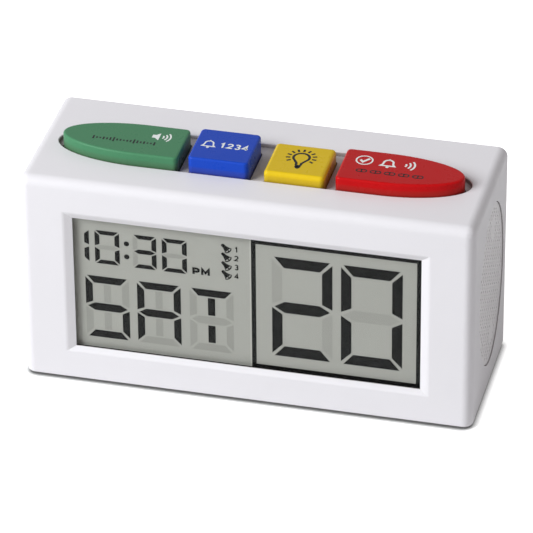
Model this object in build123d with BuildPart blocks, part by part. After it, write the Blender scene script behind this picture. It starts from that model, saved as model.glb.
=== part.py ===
from build123d import *
import math
import os

# Talking alarm clock for medicine times, in millimetres.
# X is the width, Y the depth with the display at the front (-Y), Z is up.
# The origin is on the table, under the middle of the case.

# Case
case_width = 140.0
case_depth = 50.0
case_height = 70.0
case_wall = 2.5
case_edge_radius = 3.0
case_base_radius = 0.6
cover_inset = 0.5
cover_thickness = 3.0
cover_gap = 0.2

# Feet
foot_radius = 4.6
foot_thickness = 1.6
foot_proud = 0.8
foot_gap = 0.1
foot_x = 58.0
foot_y = 17.0

# Display window
window_side = 16.2
window_low = 11.1
window_head = 13.1
bezel_side = 2.6
bezel_head = 2.2
bezel_sill = 1.5
bezel_depth = 1.2
bezel_lead = 0.3
lens_thickness = 1.2
lens_margin = 2.1
lens_rabbet = 1.0
lens_clearance = 0.15

# Display stack
holder_gap = 0.3
holder_wall = 1.4
holder_lip = 0.3
lip_cover = 1.0
lcd_margin = 1.4
lcd_thickness = 2.8
strip_side = 7.2
strip_gap = 0.3
strip_height = 2.2
stack_depth = 5.2
backlight_thickness = 4.0
backlight_side = 5.2
backlight_edge = 4.3
led_width = 2.6
led_height = 4.0
led_depth = 2.6
led_gap = 0.3
ear_out = 7.4
ear_inset = 2.5
ear_reach = 3.0
ear_thickness = 4.0
display_post_radius = 2.8

# Circuit boards
board_thickness = 1.6
main_board_side = 2.4
main_board_drop = 4.8
main_board_rise = 2.3

# Button well and buttons, the outline is a slot with half ellipse ends
well_depth = 1.5
well_edge_radius = 0.3
well_side = 6.0
well_end_length = 27.0
well_half_depth = 11.0
well_centre_y = -0.3
well_floor_thickness = 1.8
button_end_length = 25.1
button_half_depth = 8.95
button_centre_y = -1.85
button_width = 18.6
button_gap_middle = 4.7
button_gap_side = 3.4
button_clearance = 0.3
button_wall = 1.6
button_top_wall = 1.8
button_edge_radius = 0.7
light_edge_radius = 1.2
button_corner_radius = 1.4
button_flange = 0.9
button_flange_thickness = 1.0
button_travel = 1.5
button_post_radius = 2.4
stop_gap = 0.05
talk_height = 4.0
check_height = 5.0
light_height = 3.2
dismiss_height = 4.0
dome_base_radius = 4.6
dome_top_radius = 2.6
dome_height = 3.0
dome_base_thickness = 0.8
dome_skin = 0.7
button_board_end = 9.0
button_board_front = -12.0
button_board_back = 13.0
end_post_side = 11.1
end_post_front = -9.9
end_post_back = 9.0
middle_post_y = 10.4
post_radius = 2.0

# Speaker on the right side
grille_y = 2.75
grille_rise = -0.4
grille_side = 6.75
grille_head = 7.6
grille_recess = 0.35
grille_gap = 0.25
grille_flange = 1.0
grille_flange_thickness = 1.0
hole_radius = 0.45
hole_pitch = 2.2
hole_border = 1.7
speaker_cover_gap = 16.5
speaker_radius = 14.0
speaker_gasket_thickness = 1.2
speaker_flange_thickness = 1.0
basket_depth = 5.3
basket_back_radius = 9.5
basket_wall = 0.8
magnet_radius = 8.0
magnet_thickness = 2.5
cone_skin = 0.5
clamp_radius = 15.5
clamp_thickness = 1.0
clamp_screw_z = 18.5
terminal_width = 6.0
terminal_height = 1.7

# Battery bay and its door
cell_radius = 5.25
cell_length = 44.5
cell_nub_length = 1.0
cell_nub_radius = 1.9
cell_pitch = 11.0
bay_side = 36.0
bay_low = 7.1
bay_length = 50.0
bay_wall = 1.5
bay_side_gap = 0.55
bay_floor_gap = 0.3
bay_room = 0.5
lead_side = 2.0
lead_top = 11.0
lead_low = 5.0
spring_height = 4.8
contact_thickness = 0.4
contact_width = 7.0
door_thickness = 2.2
door_lap = 3.2
door_gap = 0.3
door_seat_gap = 0.1
door_low = 5.4
door_high = 59.4
hinge_pin_radius = 0.6
hinge_pin_length = 1.6
hinge_clearance = 0.08
notch_width = 12.0

# Rear control panel
panel_side = 17.0
panel_width = 52.0
panel_low_z = 21.0
panel_height = 27.0
panel_depth = 1.2
key_radius = 4.0
key_clearance = 0.2
key_proud = 1.0
key_flange_radius = 5.0
key_flange_thickness = 0.95
key_stem_radius = 1.6
key_travel = 0.5
key_first = 7.25
key_pitch = 12.5
key_rise = 19.5
key_names = ["hour_key", "minute_key", "calendar_key", "alarm_set_key"]
tact_size = 6.0
tact_height = 3.5
tact_plunger_radius = 1.7
tact_plunger_height = 0.7
knob_width = 3.4
knob_height = 2.4
knob_proud = 0.9
knob_travel = 4.0
knob_clearance = 0.2
knob_shield_width = 8.6
knob_shield_height = 4.4
knob_shield_thickness = 0.8
switch_rise = 6.0
volume_in = 14.0
mode_in = 38.0
switch_width = 12.0
switch_height = 6.0
switch_depth = 5.0
channel_depth = 1.2
key_board_depth = 7.9
key_board_margin = 4.0
key_post_radius = 2.6
key_post_inset = 3.5

# Screws
cover_screw_side = 6.8
cover_screw_low = 7.2
cover_screw_head = 6.6
cover_boss_length = 7.0
cover_boss_half = 3.4
screw_radius = 1.15
screw_fit = 0.05
screw_free = 0.35
head_radius = 2.2
head_height = 1.3
head_sink = 0.3
screw_bite = 5.5
recess_half = 0.9
recess_width = 0.35
recess_depth = 0.5

# Parts on the main board, from its middle
sound_chip_x = 12.0
sound_chip_z = 0.5
sound_chip_radius = 8.0
clock_chip_x = -8.0
clock_chip_z = -13.5
clock_chip_radius = 6.5
blob_height = 2.2
amplifier_x = 38.0
amplifier_z = 0.5
crystal_x = -36.0
crystal_z = 14.5
crystal_radius = 1.5
crystal_length = 8.0

# Wires
lead_radius = 0.6
lead_bend = 4.0
lead_pitch = 2.4
lead_drop = 4.0
lead_land = 6.5
ribbon_bend = 3.0
ribbon_drop = 6.8
ribbon_sweep = 6.5
ribbon_x = 20.0
ribbon_thickness = 0.6
ribbon_width = 14.0

# Places worked out from the sizes above
base_z = foot_proud
window_width = case_width - 2 * window_side
window_height = case_height - window_low - window_head
well_flat_half = case_width / 2 - well_side - well_end_length
grille_half_depth = case_depth / 2 - grille_side
grille_half_height = case_height / 2 - grille_head
grille_z = base_z + case_height / 2 + grille_rise
bay_centre_x = bay_side - case_width / 2
panel_low_x = case_width / 2 - panel_side - panel_width
top_z = base_z + case_height
front_y = -case_depth / 2
back_y = case_depth / 2
front_inner_y = front_y + case_wall
side_inner_x = case_width / 2 - case_wall
floor_inner_z = base_z + case_wall
top_inner_z = top_z - case_wall
cover_out_y = back_y - cover_inset
cover_in_y = cover_out_y - cover_thickness
window_z = base_z + window_low + window_height / 2
lens_front_y = front_inner_y - lens_rabbet
lens_back_y = lens_front_y + lens_thickness
lens_width = window_width + 2 * lens_margin
lens_height = window_height + 2 * lens_margin
lcd_width = window_width + 2 * lcd_margin
lcd_height = window_height + 2 * lcd_margin
strip_length = lcd_width - 2 * strip_side
backlight_width = lcd_width - 2 * backlight_side
backlight_height = lcd_height - 2 * backlight_edge
lcd_front_y = lens_back_y + holder_lip
lcd_back_y = lcd_front_y + lcd_thickness
board_front_y = lcd_back_y + stack_depth
board_back_y = board_front_y + board_thickness
main_board_half_width = window_width / 2 + main_board_side
main_board_low = window_z - window_height / 2 - main_board_drop
main_board_high = window_z + window_height / 2 + main_board_rise
ear_x = window_width / 2 + ear_out
ear_low_z = window_z - window_height / 2 + ear_inset
ear_high_z = window_z + window_height / 2 - ear_inset
speaker_y = cover_in_y - speaker_cover_gap
button_board_half_width = case_width / 2 - button_board_end
end_post_x = case_width / 2 - end_post_side
cover_screw_x = case_width / 2 - cover_screw_side
cover_screw_high = top_z - cover_screw_head
key_first_x = panel_low_x + key_first
key_z = panel_low_z + key_rise
switch_z = panel_low_z + switch_rise
volume_x = panel_low_x + volume_in
mode_x = panel_low_x + mode_in
holder_out_width = lcd_width + 2 * (holder_gap + holder_wall)
holder_out_height = lcd_height + 2 * (holder_gap + holder_wall)
well_floor_z = top_z - well_depth
well_under_z = well_floor_z - well_floor_thickness
flange_top_z = well_under_z - stop_gap
flange_low_z = flange_top_z - button_flange_thickness
button_board_top_z = flange_low_z - button_travel - 2.1
dome_top_z = button_board_top_z + dome_height
button_board_low_z = button_board_top_z - board_thickness
middle_out_x = button_gap_middle / 2 + button_width
end_in_x = middle_out_x + button_gap_side
end_tip_x = well_flat_half + button_end_length
side_x = case_width / 2
grille_face_x = side_x - grille_recess
grille_in_x = side_inner_x - grille_flange_thickness
gasket_in_x = grille_in_x - speaker_gasket_thickness
flange_in_x = gasket_in_x - speaker_flange_thickness
basket_back_x = flange_in_x - basket_depth
magnet_back_x = basket_back_x - magnet_thickness
door_in_y = cover_out_y - door_thickness
hinge_y = cover_out_y - door_thickness / 2
hinge_z = door_low + door_thickness / 2
cell_y = door_in_y - cell_radius - 0.5
bay_floor_y = cell_y - cell_radius - bay_floor_gap
bay_front_y = bay_floor_y - bay_wall
bay_half = cell_pitch + cell_radius + bay_side_gap
door_half = bay_half + door_lap
bay_high = bay_low + bay_length
panel_x = panel_low_x + panel_width / 2
panel_z = panel_low_z + panel_height / 2
panel_out_y = cover_out_y - panel_depth
key_board_back_y = cover_in_y - key_board_depth
key_board_front_y = key_board_back_y - board_thickness
key_board_width = panel_width
key_board_height = panel_height + 2 * key_board_margin
knob_shield_out_y = cover_in_y - stop_gap
switch_top_y = key_board_back_y + switch_depth
key_xs = [key_first_x + i * key_pitch for i in range(len(key_names))]
key_post_xs = [panel_low_x + key_post_inset, panel_low_x + panel_width - key_post_inset]
key_post_zs = [
    panel_z - key_board_height / 2 + key_post_inset,
    panel_z + key_board_height / 2 - key_post_inset,
]
display_spots = [(sx * ear_x, z) for sx in (-1, 1) for z in (ear_low_z, ear_high_z)]
button_post_spots = [(sx * end_post_x, y) for sx in (-1, 1) for y in (end_post_front, end_post_back)]
button_post_spots.append((0.0, middle_post_y))
cover_screw_spots = [(sx * cover_screw_x, z) for sx in (-1, 1) for z in (cover_screw_low, cover_screw_high)]
key_board_spots = [(x, z) for x in key_post_xs for z in key_post_zs]
clamp_spots = [(speaker_y, grille_z - clamp_screw_z), (speaker_y, grille_z + clamp_screw_z)]

os.makedirs("parts", exist_ok=True)


def save(builder, name):
    """Label a finished piece and write its STEP file."""
    builder.part.label = name
    export_step(builder.part, f"parts/{name}.step")


def across(y, x=0.0, z=0.0):
    """Plane square to Y: local x is world X, local y is world Z, the normal points to the front."""
    return Plane(origin=(x, y, z), x_dir=(1, 0, 0), z_dir=(0, -1, 0))


def side_plane(x):
    """Plane square to X at x: local x is world Y, local y is world Z, the normal is +X."""
    return Plane(origin=(x, 0, 0), x_dir=(0, 1, 0), z_dir=(1, 0, 0))


def slab(low_y, high_y):
    """Plane and depth for a piece that fills low_y to high_y behind it."""
    return across(high_y), high_y - low_y


def long_oval(flat_half, end_length, half_depth, centre_y):
    """Slot with a half ellipse at each end, centred on X = 0."""
    with BuildSketch(mode=Mode.PRIVATE) as outline:
        with Locations((0, centre_y)):
            Rectangle(2 * flat_half, 2 * half_depth)
        with Locations((-flat_half, centre_y), (flat_half, centre_y)):
            Ellipse(end_length, half_depth)
    return outline.sketch


def button_outline(low_x, high_x, grow, corner):
    """Stretch of the buttons' shared slot from low_x to high_x, grown all round."""
    with BuildSketch(mode=Mode.PRIVATE) as outline:
        add(long_oval(well_flat_half, button_end_length + grow, button_half_depth + grow, button_centre_y))
        cut_low = low_x - grow
        cut_high = high_x + grow
        with Locations(((cut_low + cut_high) / 2, button_centre_y)):
            Rectangle(cut_high - cut_low, 2 * (button_half_depth + grow) + 1, mode=Mode.INTERSECT)
        if corner > 0:
            ends = [x for x in (cut_low, cut_high) if abs(x) < well_flat_half]
            picked = [v for v in outline.vertices() if min(abs(v.X - x) for x in ends) < 1e-4]
            fillet(picked, corner)
    return outline.sketch


def screw(spot_plane, bite, sink_recess=True):
    """Pan head screw standing on spot_plane's origin, shank along the plane's normal."""
    with BuildPart(mode=Mode.PRIVATE) as body:
        with BuildSketch(spot_plane):
            Circle(screw_radius)
        extrude(amount=bite)
        with BuildSketch(spot_plane):
            Circle(head_radius)
        extrude(amount=-head_height)
        fillet(body.edges().filter_by(GeomType.CIRCLE).group_by(SortBy.RADIUS)[-1], head_height * 0.3)
        if sink_recess:
            with BuildSketch(spot_plane.offset(-head_height)):
                Rectangle(2 * recess_half, recess_width)
                Rectangle(recess_width, 2 * recess_half)
            extrude(amount=recess_depth, mode=Mode.SUBTRACT)
    return body.part


# Main housing: front, top, sides and base in one shell, open at the back
with BuildPart() as main_housing:
    with BuildSketch(Plane.XY.offset(base_z)):
        Rectangle(case_width, case_depth)
    extrude(amount=case_height)
    upright = main_housing.edges().filter_by(Axis.Z).group_by(Axis.Y)[0]
    top_loop = main_housing.faces().sort_by(Axis.Z)[-1].edges()
    top_soft = top_loop.sort_by(Axis.Y)[:-1]
    fillet(upright + top_soft, case_edge_radius)
    base_loop = main_housing.faces().sort_by(Axis.Z)[0].edges()
    back_loop = main_housing.faces().sort_by(Axis.Y)[-1].edges()
    back_only = [e for e in back_loop if e.center().Z > base_z + 0.01]
    fillet(list(base_loop) + back_only, case_base_radius)

    # Hollow inside, open to the back
    with BuildSketch(across(back_y + 1)):
        with Locations((0, (floor_inner_z + top_inner_z) / 2)):
            Rectangle(2 * side_inner_x, top_inner_z - floor_inner_z)
    extrude(amount=back_y + 1 - front_inner_y, mode=Mode.SUBTRACT)

    # Window with its sloped bezel
    lead_share = bezel_lead / bezel_side
    for depth, share in ((0.0, 1 + lead_share), (bezel_depth * lead_share, 1 - lead_share), (bezel_depth, 0.0)):
        with BuildSketch(across(front_y + depth)):
            with Locations((0, window_z + (bezel_head - bezel_sill) / 2 * share)):
                Rectangle(
                    window_width + 2 * bezel_side * share,
                    window_height + (bezel_head + bezel_sill) * share,
                )
    loft(ruled=True, mode=Mode.SUBTRACT)
    with BuildSketch(across(front_inner_y)):
        with Locations((0, window_z)):
            Rectangle(window_width, window_height)
    extrude(amount=case_wall, mode=Mode.SUBTRACT)

    # Rabbet behind the window that the lens drops into
    with BuildSketch(across(front_inner_y)):
        with Locations((0, window_z)):
            Rectangle(lens_width + 2 * lens_clearance, lens_height + 2 * lens_clearance)
    extrude(amount=lens_rabbet, mode=Mode.SUBTRACT)

    # Thicker roof under the button well, then the well and the button openings
    with BuildSketch(Plane.XY.offset(well_under_z)):
        with Locations((0, well_centre_y)):
            Rectangle(
                2 * (well_flat_half + well_end_length + case_wall),
                2 * (well_half_depth + case_wall),
            )
    extrude(amount=top_inner_z - well_under_z)
    with BuildSketch(Plane.XY.offset(well_floor_z)):
        add(long_oval(well_flat_half, well_end_length, well_half_depth, well_centre_y))
    extrude(amount=well_depth + 1, mode=Mode.SUBTRACT)
    rim = main_housing.edges().filter_by_position(Axis.Z, top_z - 0.01, top_z + 0.01)
    fillet(rim.filter_by(lambda e: abs(e.center().Y - well_centre_y) < well_half_depth + 0.01), well_edge_radius)
    spans = [
        (-end_tip_x, -end_in_x),
        (-middle_out_x, -button_gap_middle / 2),
        (button_gap_middle / 2, middle_out_x),
        (end_in_x, end_tip_x),
    ]
    with BuildSketch(Plane.XY.offset(well_under_z - 1)):
        for low_x, high_x in spans:
            add(button_outline(low_x, high_x, button_clearance, button_corner_radius))
    extrude(amount=well_floor_thickness + 2, mode=Mode.SUBTRACT)

    # Posts for the display holder, the button board and the rear cover
    with BuildSketch(across(front_inner_y)):
        with Locations(*display_spots):
            Circle(display_post_radius)
    extrude(amount=-(board_front_y - ear_thickness - front_inner_y))
    with BuildSketch(Plane.XY.offset(button_board_top_z)):
        with Locations(*button_post_spots):
            Circle(post_radius)
    extrude(amount=well_under_z - button_board_top_z)
    with BuildSketch(across(cover_in_y)):
        for sx in (-1, 1):
            for z, wall_z in ((cover_screw_low, floor_inner_z), (cover_screw_high, top_inner_z)):
                in_x = sx * (cover_screw_x - cover_boss_half)
                in_z = z + cover_boss_half if z < window_z else z - cover_boss_half
                with Locations(((in_x + sx * side_inner_x) / 2, (in_z + wall_z) / 2)):
                    Rectangle(abs(side_inner_x - abs(in_x)), abs(in_z - wall_z))
    extrude(amount=cover_boss_length)

    # Pilot holes for the screws
    with BuildSketch(across(board_front_y - ear_thickness)):
        with Locations(*display_spots):
            Circle(screw_radius + screw_fit)
    extrude(amount=board_front_y - ear_thickness - front_inner_y, mode=Mode.SUBTRACT)
    with BuildSketch(Plane.XY.offset(button_board_top_z)):
        with Locations(*button_post_spots):
            Circle(screw_radius + screw_fit)
    extrude(amount=well_under_z - button_board_top_z, mode=Mode.SUBTRACT)
    with BuildSketch(across(cover_in_y)):
        with Locations(*cover_screw_spots):
            Circle(screw_radius + screw_fit)
    extrude(amount=cover_boss_length - 1, mode=Mode.SUBTRACT)

    # Oval opening for the speaker grille, in the right side
    with BuildSketch(side_plane(side_inner_x - 1)):
        with Locations((grille_y, grille_z)):
            Ellipse(grille_half_depth, grille_half_height)
    extrude(amount=case_wall + 2, mode=Mode.SUBTRACT)

    # Shallow pockets for the feet
    with BuildSketch(Plane.XY.offset(base_z)):
        with GridLocations(2 * foot_x, 2 * foot_y, 2, 2):
            Circle(foot_radius + foot_gap)
    extrude(amount=foot_thickness - foot_proud, mode=Mode.SUBTRACT)
save(main_housing, "main_housing")

# Four rubber feet
with BuildPart() as feet:
    with BuildSketch():
        with GridLocations(2 * foot_x, 2 * foot_y, 2, 2):
            Circle(foot_radius)
    extrude(amount=foot_thickness)
    fillet(feet.edges().group_by(Axis.Z)[0], foot_proud * 0.5)
save(feet, "feet")

# Clear lens in the rabbet behind the window
with BuildPart() as display_lens:
    plane, depth = slab(lens_front_y, lens_back_y)
    with BuildSketch(plane):
        with Locations((0, window_z)):
            Rectangle(lens_width, lens_height)
    extrude(amount=depth)
save(display_lens, "display_lens")

# Liquid crystal panel
with BuildPart() as lcd_panel:
    plane, depth = slab(lcd_front_y, lcd_back_y)
    with BuildSketch(plane):
        with Locations((0, window_z)):
            Rectangle(lcd_width, lcd_height)
    extrude(amount=depth)
save(lcd_panel, "lcd_panel")

# Holder that clamps the panel and the lens to the front, with four screw ears
with BuildPart() as lcd_holder:
    plane, depth = slab(lens_back_y, board_front_y)
    with BuildSketch(plane):
        with Locations((0, window_z)):
            Rectangle(holder_out_width, holder_out_height)
    extrude(amount=depth)
    with BuildSketch(across(board_front_y)):
        for x, z in display_spots:
            near_x = holder_out_width / 2 - holder_wall
            far_x = abs(x) + ear_reach
            with Locations((math.copysign((near_x + far_x) / 2, x), z)):
                Rectangle(far_x - near_x, 2 * ear_reach)
    extrude(amount=ear_thickness)
    with BuildSketch(across(board_front_y)):
        with Locations((0, window_z)):
            Rectangle(lcd_width + 2 * holder_gap, lcd_height + 2 * holder_gap)
    extrude(amount=board_front_y - lcd_front_y, mode=Mode.SUBTRACT)
    with BuildSketch(across(lcd_front_y)):
        with Locations((0, window_z)):
            Rectangle(window_width + 2 * lip_cover, window_height + 2 * lip_cover)
    extrude(amount=holder_lip, mode=Mode.SUBTRACT)
    with BuildSketch(across(board_front_y)):
        with Locations(*display_spots):
            Circle(screw_radius + screw_free)
    extrude(amount=ear_thickness, mode=Mode.SUBTRACT)
save(lcd_holder, "lcd_holder")

# Two rubber strips that join the panel's edges to the main board
strip_z = lcd_height / 2 - strip_height / 2 - strip_gap
with BuildPart() as contact_strips:
    plane, depth = slab(lcd_back_y, board_front_y)
    with BuildSketch(plane):
        with Locations((0, window_z - strip_z), (0, window_z + strip_z)):
            Rectangle(strip_length, strip_height)
    extrude(amount=depth)
save(contact_strips, "contact_strips")

# Light guide behind the panel and its two lamps on the board
with BuildPart() as backlight_panel:
    plane, depth = slab(lcd_back_y, lcd_back_y + backlight_thickness)
    with BuildSketch(plane):
        with Locations((0, window_z)):
            Rectangle(backlight_width, backlight_height)
    extrude(amount=depth)
save(backlight_panel, "backlight_panel")

led_x = backlight_width / 2 + led_gap + led_width / 2
with BuildPart() as backlight_leds:
    plane, depth = slab(board_front_y - led_depth, board_front_y)
    with BuildSketch(plane):
        with Locations((-led_x, window_z), (led_x, window_z)):
            Rectangle(led_width, led_height)
    extrude(amount=depth)
save(backlight_leds, "backlight_leds")

# Main board, with an ear beside each holder ear
with BuildPart() as main_board:
    plane, depth = slab(board_front_y, board_back_y)
    with BuildSketch(plane):
        with Locations((0, (main_board_low + main_board_high) / 2)):
            Rectangle(2 * main_board_half_width, main_board_high - main_board_low)
        for z in (ear_low_z, ear_high_z):
            with Locations((0, z)):
                Rectangle(2 * (ear_x + ear_reach), 2 * ear_reach)
        with Locations(*display_spots):
            Circle(screw_radius + screw_free, mode=Mode.SUBTRACT)
    extrude(amount=depth)
save(main_board, "main_board")


def board_part_plane(x, z):
    """Plane on the main board's back face at x and z, normal away from the board."""
    return Plane(origin=(x, board_back_y, z), x_dir=(-1, 0, 0), z_dir=(0, 1, 0))


def chip_blob(x, z, radius, height):
    """Low dome of black resin over a bare chip."""
    rise = (radius**2 + height**2) / (2 * height)
    with BuildPart(mode=Mode.PRIVATE) as blob:
        with BuildSketch(Plane(origin=(x, board_back_y, z), x_dir=(1, 0, 0), z_dir=(0, 0, 1))):
            with BuildLine():
                Line((0, 0), (radius, 0))
                ThreePointArc(
                    (radius, 0),
                    (radius / 2, height - rise + math.sqrt(rise**2 - radius**2 / 4)),
                    (0, height),
                )
                Line((0, height), (0, 0))
            make_face()
        revolve(axis=Axis((x, board_back_y, z), (0, 1, 0)))
    return blob.part


with BuildPart() as sound_chip:
    add(chip_blob(sound_chip_x, window_z + sound_chip_z, sound_chip_radius, blob_height))
save(sound_chip, "sound_chip")

with BuildPart() as clock_chip:
    add(chip_blob(clock_chip_x, window_z + clock_chip_z, clock_chip_radius, blob_height))
save(clock_chip, "clock_chip")

with BuildPart() as amplifier_chip:
    with BuildSketch(board_part_plane(amplifier_x, window_z + amplifier_z)):
        Rectangle(8.0, 6.0)
    extrude(amount=1.8)
    chamfer(amplifier_chip.edges().group_by(Axis.Y)[-1], 0.3)
save(amplifier_chip, "amplifier_chip")

# Clock crystal: a small can that lies on the board
crystal_spot = (crystal_x, board_back_y + crystal_radius, window_z + crystal_z)
with BuildPart() as clock_crystal:
    with BuildSketch(Plane(origin=crystal_spot, z_dir=(1, 0, 0))):
        Circle(crystal_radius)
    extrude(amount=crystal_length)
    fillet(clock_crystal.edges().filter_by(GeomType.CIRCLE), 0.4)
save(clock_crystal, "clock_crystal")

# Three smoothing capacitors: x and z from the display's middle, radius and height
capacitor_rows = [(-40.0, -15.5, 4.0, 9.0), (-28.0, -1.5, 4.0, 9.0), (42.0, 14.5, 2.5, 6.0)]
with BuildPart() as capacitors:
    for x, z, radius, height in capacitor_rows:
        with BuildSketch(board_part_plane(x, window_z + z)):
            Circle(radius)
        extrude(amount=height)
    fillet(capacitors.edges().filter_by(GeomType.CIRCLE).filter_by(
        lambda e: e.center().Y > board_back_y + 1), 0.5)
save(capacitors, "capacitors")

# Four screws through the main board and the holder's ears into the housing
with BuildPart() as display_screws:
    for x, z in display_spots:
        spot = Plane(origin=(x, board_back_y, z), x_dir=(1, 0, 0), z_dir=(0, -1, 0))
        add(screw(spot, board_thickness + ear_thickness + 3.6))
save(display_screws, "display_screws")


def big_button(low_x, high_x, height, edge_radius):
    """Hollow key cap with a stop flange inside the case and a post down to its dome."""
    with BuildPart(mode=Mode.PRIVATE) as cap:
        with BuildSketch(Plane.XY.offset(flange_low_z)):
            add(button_outline(low_x, high_x, 0.0, button_corner_radius))
        extrude(amount=top_z + height - flange_low_z)
        fillet(cap.faces().sort_by(Axis.Z)[-1].edges(), edge_radius)
        with BuildSketch(Plane.XY.offset(flange_low_z)):
            add(button_outline(low_x, high_x, button_flange, button_corner_radius))
        extrude(amount=button_flange_thickness)
        with BuildSketch(Plane.XY.offset(flange_low_z)):
            add(button_outline(low_x, high_x, -button_wall, 0.0))
        extrude(amount=top_z + height - button_top_wall - flange_low_z, mode=Mode.SUBTRACT)
        post_x = dome_place(low_x, high_x)
        with BuildSketch(Plane.XY.offset(dome_top_z)):
            with Locations((post_x, button_centre_y)):
                Circle(button_post_radius)
        extrude(amount=top_z + height - button_top_wall - dome_top_z + 0.1)
    return cap.part


def dome_place(low_x, high_x):
    """X of the middle of a button's weight, a little off the round end."""
    middle = (low_x + high_x) / 2
    return middle - math.copysign((abs(high_x - low_x) - button_width) * 0.1, middle)


def dome(low_x, high_x):
    """Hollow silicone dome between the button board and a button's post."""
    x = dome_place(low_x, high_x)
    z = button_board_top_z
    neck = dome_base_radius - 1.0
    with BuildPart(mode=Mode.PRIVATE) as body:
        with BuildSketch(Plane(origin=(x, button_centre_y, z), x_dir=(1, 0, 0), z_dir=(0, -1, 0))):
            with BuildLine():
                Polyline(
                    (neck - dome_skin, 0),
                    (dome_base_radius, 0),
                    (dome_base_radius, dome_base_thickness),
                    (neck, dome_base_thickness),
                    (dome_top_radius, dome_height - 0.9),
                    (dome_top_radius, dome_height),
                    (0, dome_height),
                    (0, dome_height - 1.2),
                    (dome_top_radius - dome_skin, dome_height - 1.2),
                    close=True,
                )
            make_face()
        revolve(axis=Axis((x, button_centre_y, z), (0, 0, 1)))
    return body.part


with BuildPart() as talk_button:
    add(big_button(-end_tip_x, -end_in_x, talk_height, button_edge_radius))
save(talk_button, "talk_button")

with BuildPart() as check_button:
    add(big_button(-middle_out_x, -button_gap_middle / 2, check_height, button_edge_radius))
save(check_button, "check_button")

with BuildPart() as light_button:
    add(big_button(button_gap_middle / 2, middle_out_x, light_height, light_edge_radius))
save(light_button, "light_button")

with BuildPart() as dismiss_button:
    add(big_button(end_in_x, end_tip_x, dismiss_height, button_edge_radius))
save(dismiss_button, "dismiss_button")

with BuildPart() as talk_dome:
    add(dome(-end_tip_x, -end_in_x))
save(talk_dome, "talk_dome")

with BuildPart() as check_dome:
    add(dome(-middle_out_x, -button_gap_middle / 2))
save(check_dome, "check_dome")

with BuildPart() as light_dome:
    add(dome(button_gap_middle / 2, middle_out_x))
save(light_dome, "light_dome")

with BuildPart() as dismiss_dome:
    add(dome(end_in_x, end_tip_x))
save(dismiss_dome, "dismiss_dome")

# Board under the four buttons, hung from the roof's posts
with BuildPart() as button_board:
    with BuildSketch(Plane.XY.offset(button_board_low_z)):
        with Locations((0, (button_board_front + button_board_back) / 2)):
            Rectangle(2 * button_board_half_width, button_board_back - button_board_front)
        with Locations(*button_post_spots):
            Circle(screw_radius + screw_free, mode=Mode.SUBTRACT)
    extrude(amount=board_thickness)
    with BuildSketch(Plane.XY.offset(bay_low)):
        with Locations((bay_centre_x, (bay_front_y - bay_room + back_y) / 2)):
            Rectangle(2 * (bay_half + bay_wall + bay_room), back_y - bay_front_y + bay_room)
    extrude(amount=bay_length + bay_wall + bay_room, mode=Mode.SUBTRACT)
save(button_board, "button_board")

with BuildPart() as button_board_screws:
    for x, y in button_post_spots:
        add(screw(Plane.XY.offset(button_board_low_z).move(Location((x, y, 0))), screw_bite))
save(button_board_screws, "button_board_screws")

# Perforated oval grille, seated in the side opening by its inner flange
with BuildPart() as speaker_grille:
    with BuildSketch(side_plane(grille_in_x)):
        with Locations((grille_y, grille_z)):
            Ellipse(grille_half_depth - grille_gap, grille_half_height - grille_gap)
    extrude(amount=grille_face_x - grille_in_x)
    with BuildSketch(side_plane(grille_in_x)):
        with Locations((grille_y, grille_z)):
            Ellipse(grille_half_depth + grille_flange, grille_half_height + grille_flange)
        with Locations((cover_in_y - cover_gap - case_depth / 2, grille_z)):
            Rectangle(case_depth, case_height, mode=Mode.INTERSECT)
    extrude(amount=grille_flange_thickness)
    with BuildSketch(side_plane(flange_in_x)):
        with Locations(*clamp_spots):
            Circle(post_radius + 0.3)
    extrude(amount=grille_in_x - flange_in_x)
    row_step = hole_pitch * math.sqrt(3) / 2
    half_rows = int(grille_half_height / row_step)
    half_columns = int(grille_half_depth / hole_pitch) + 1
    holes = []
    for row in range(-half_rows, half_rows + 1):
        for column in range(-half_columns, half_columns + 1):
            y = (column + (row % 2) / 2) * hole_pitch
            z = row * row_step
            inside = math.hypot(
                y / (grille_half_depth - hole_border), z / (grille_half_height - hole_border)) < 1
            clear = all(
                math.hypot(y + grille_y - py, z + grille_z - pz) > post_radius + 1.4
                for py, pz in clamp_spots
            )
            if inside and clear:
                holes.append((y + grille_y, z + grille_z))
    with BuildSketch(side_plane(grille_in_x)):
        with Locations(*holes):
            Circle(hole_radius)
    extrude(amount=grille_face_x - grille_in_x, mode=Mode.SUBTRACT)
    with BuildSketch(side_plane(flange_in_x)):
        with Locations(*clamp_spots):
            Circle(screw_radius + screw_fit)
    extrude(amount=grille_in_x - flange_in_x + 1.6, mode=Mode.SUBTRACT)
save(speaker_grille, "speaker_grille")


def turned(points):
    """Solid turned about the speaker's own axis from (x, radius) points."""
    with BuildPart(mode=Mode.PRIVATE) as body:
        with BuildSketch(Plane(origin=(0, speaker_y, grille_z), x_dir=(1, 0, 0), z_dir=(0, 0, 1))):
            with BuildLine():
                Polyline(*points, close=True)
            make_face()
        revolve(axis=Axis((0, speaker_y, grille_z), (1, 0, 0)))
    return body.part


gasket_bore = speaker_radius - 2.5
with BuildPart() as speaker_gasket:
    add(turned([
        (gasket_in_x, gasket_bore),
        (gasket_in_x, speaker_radius),
        (grille_in_x, speaker_radius),
        (grille_in_x, gasket_bore),
    ]))
save(speaker_gasket, "speaker_gasket")

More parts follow.
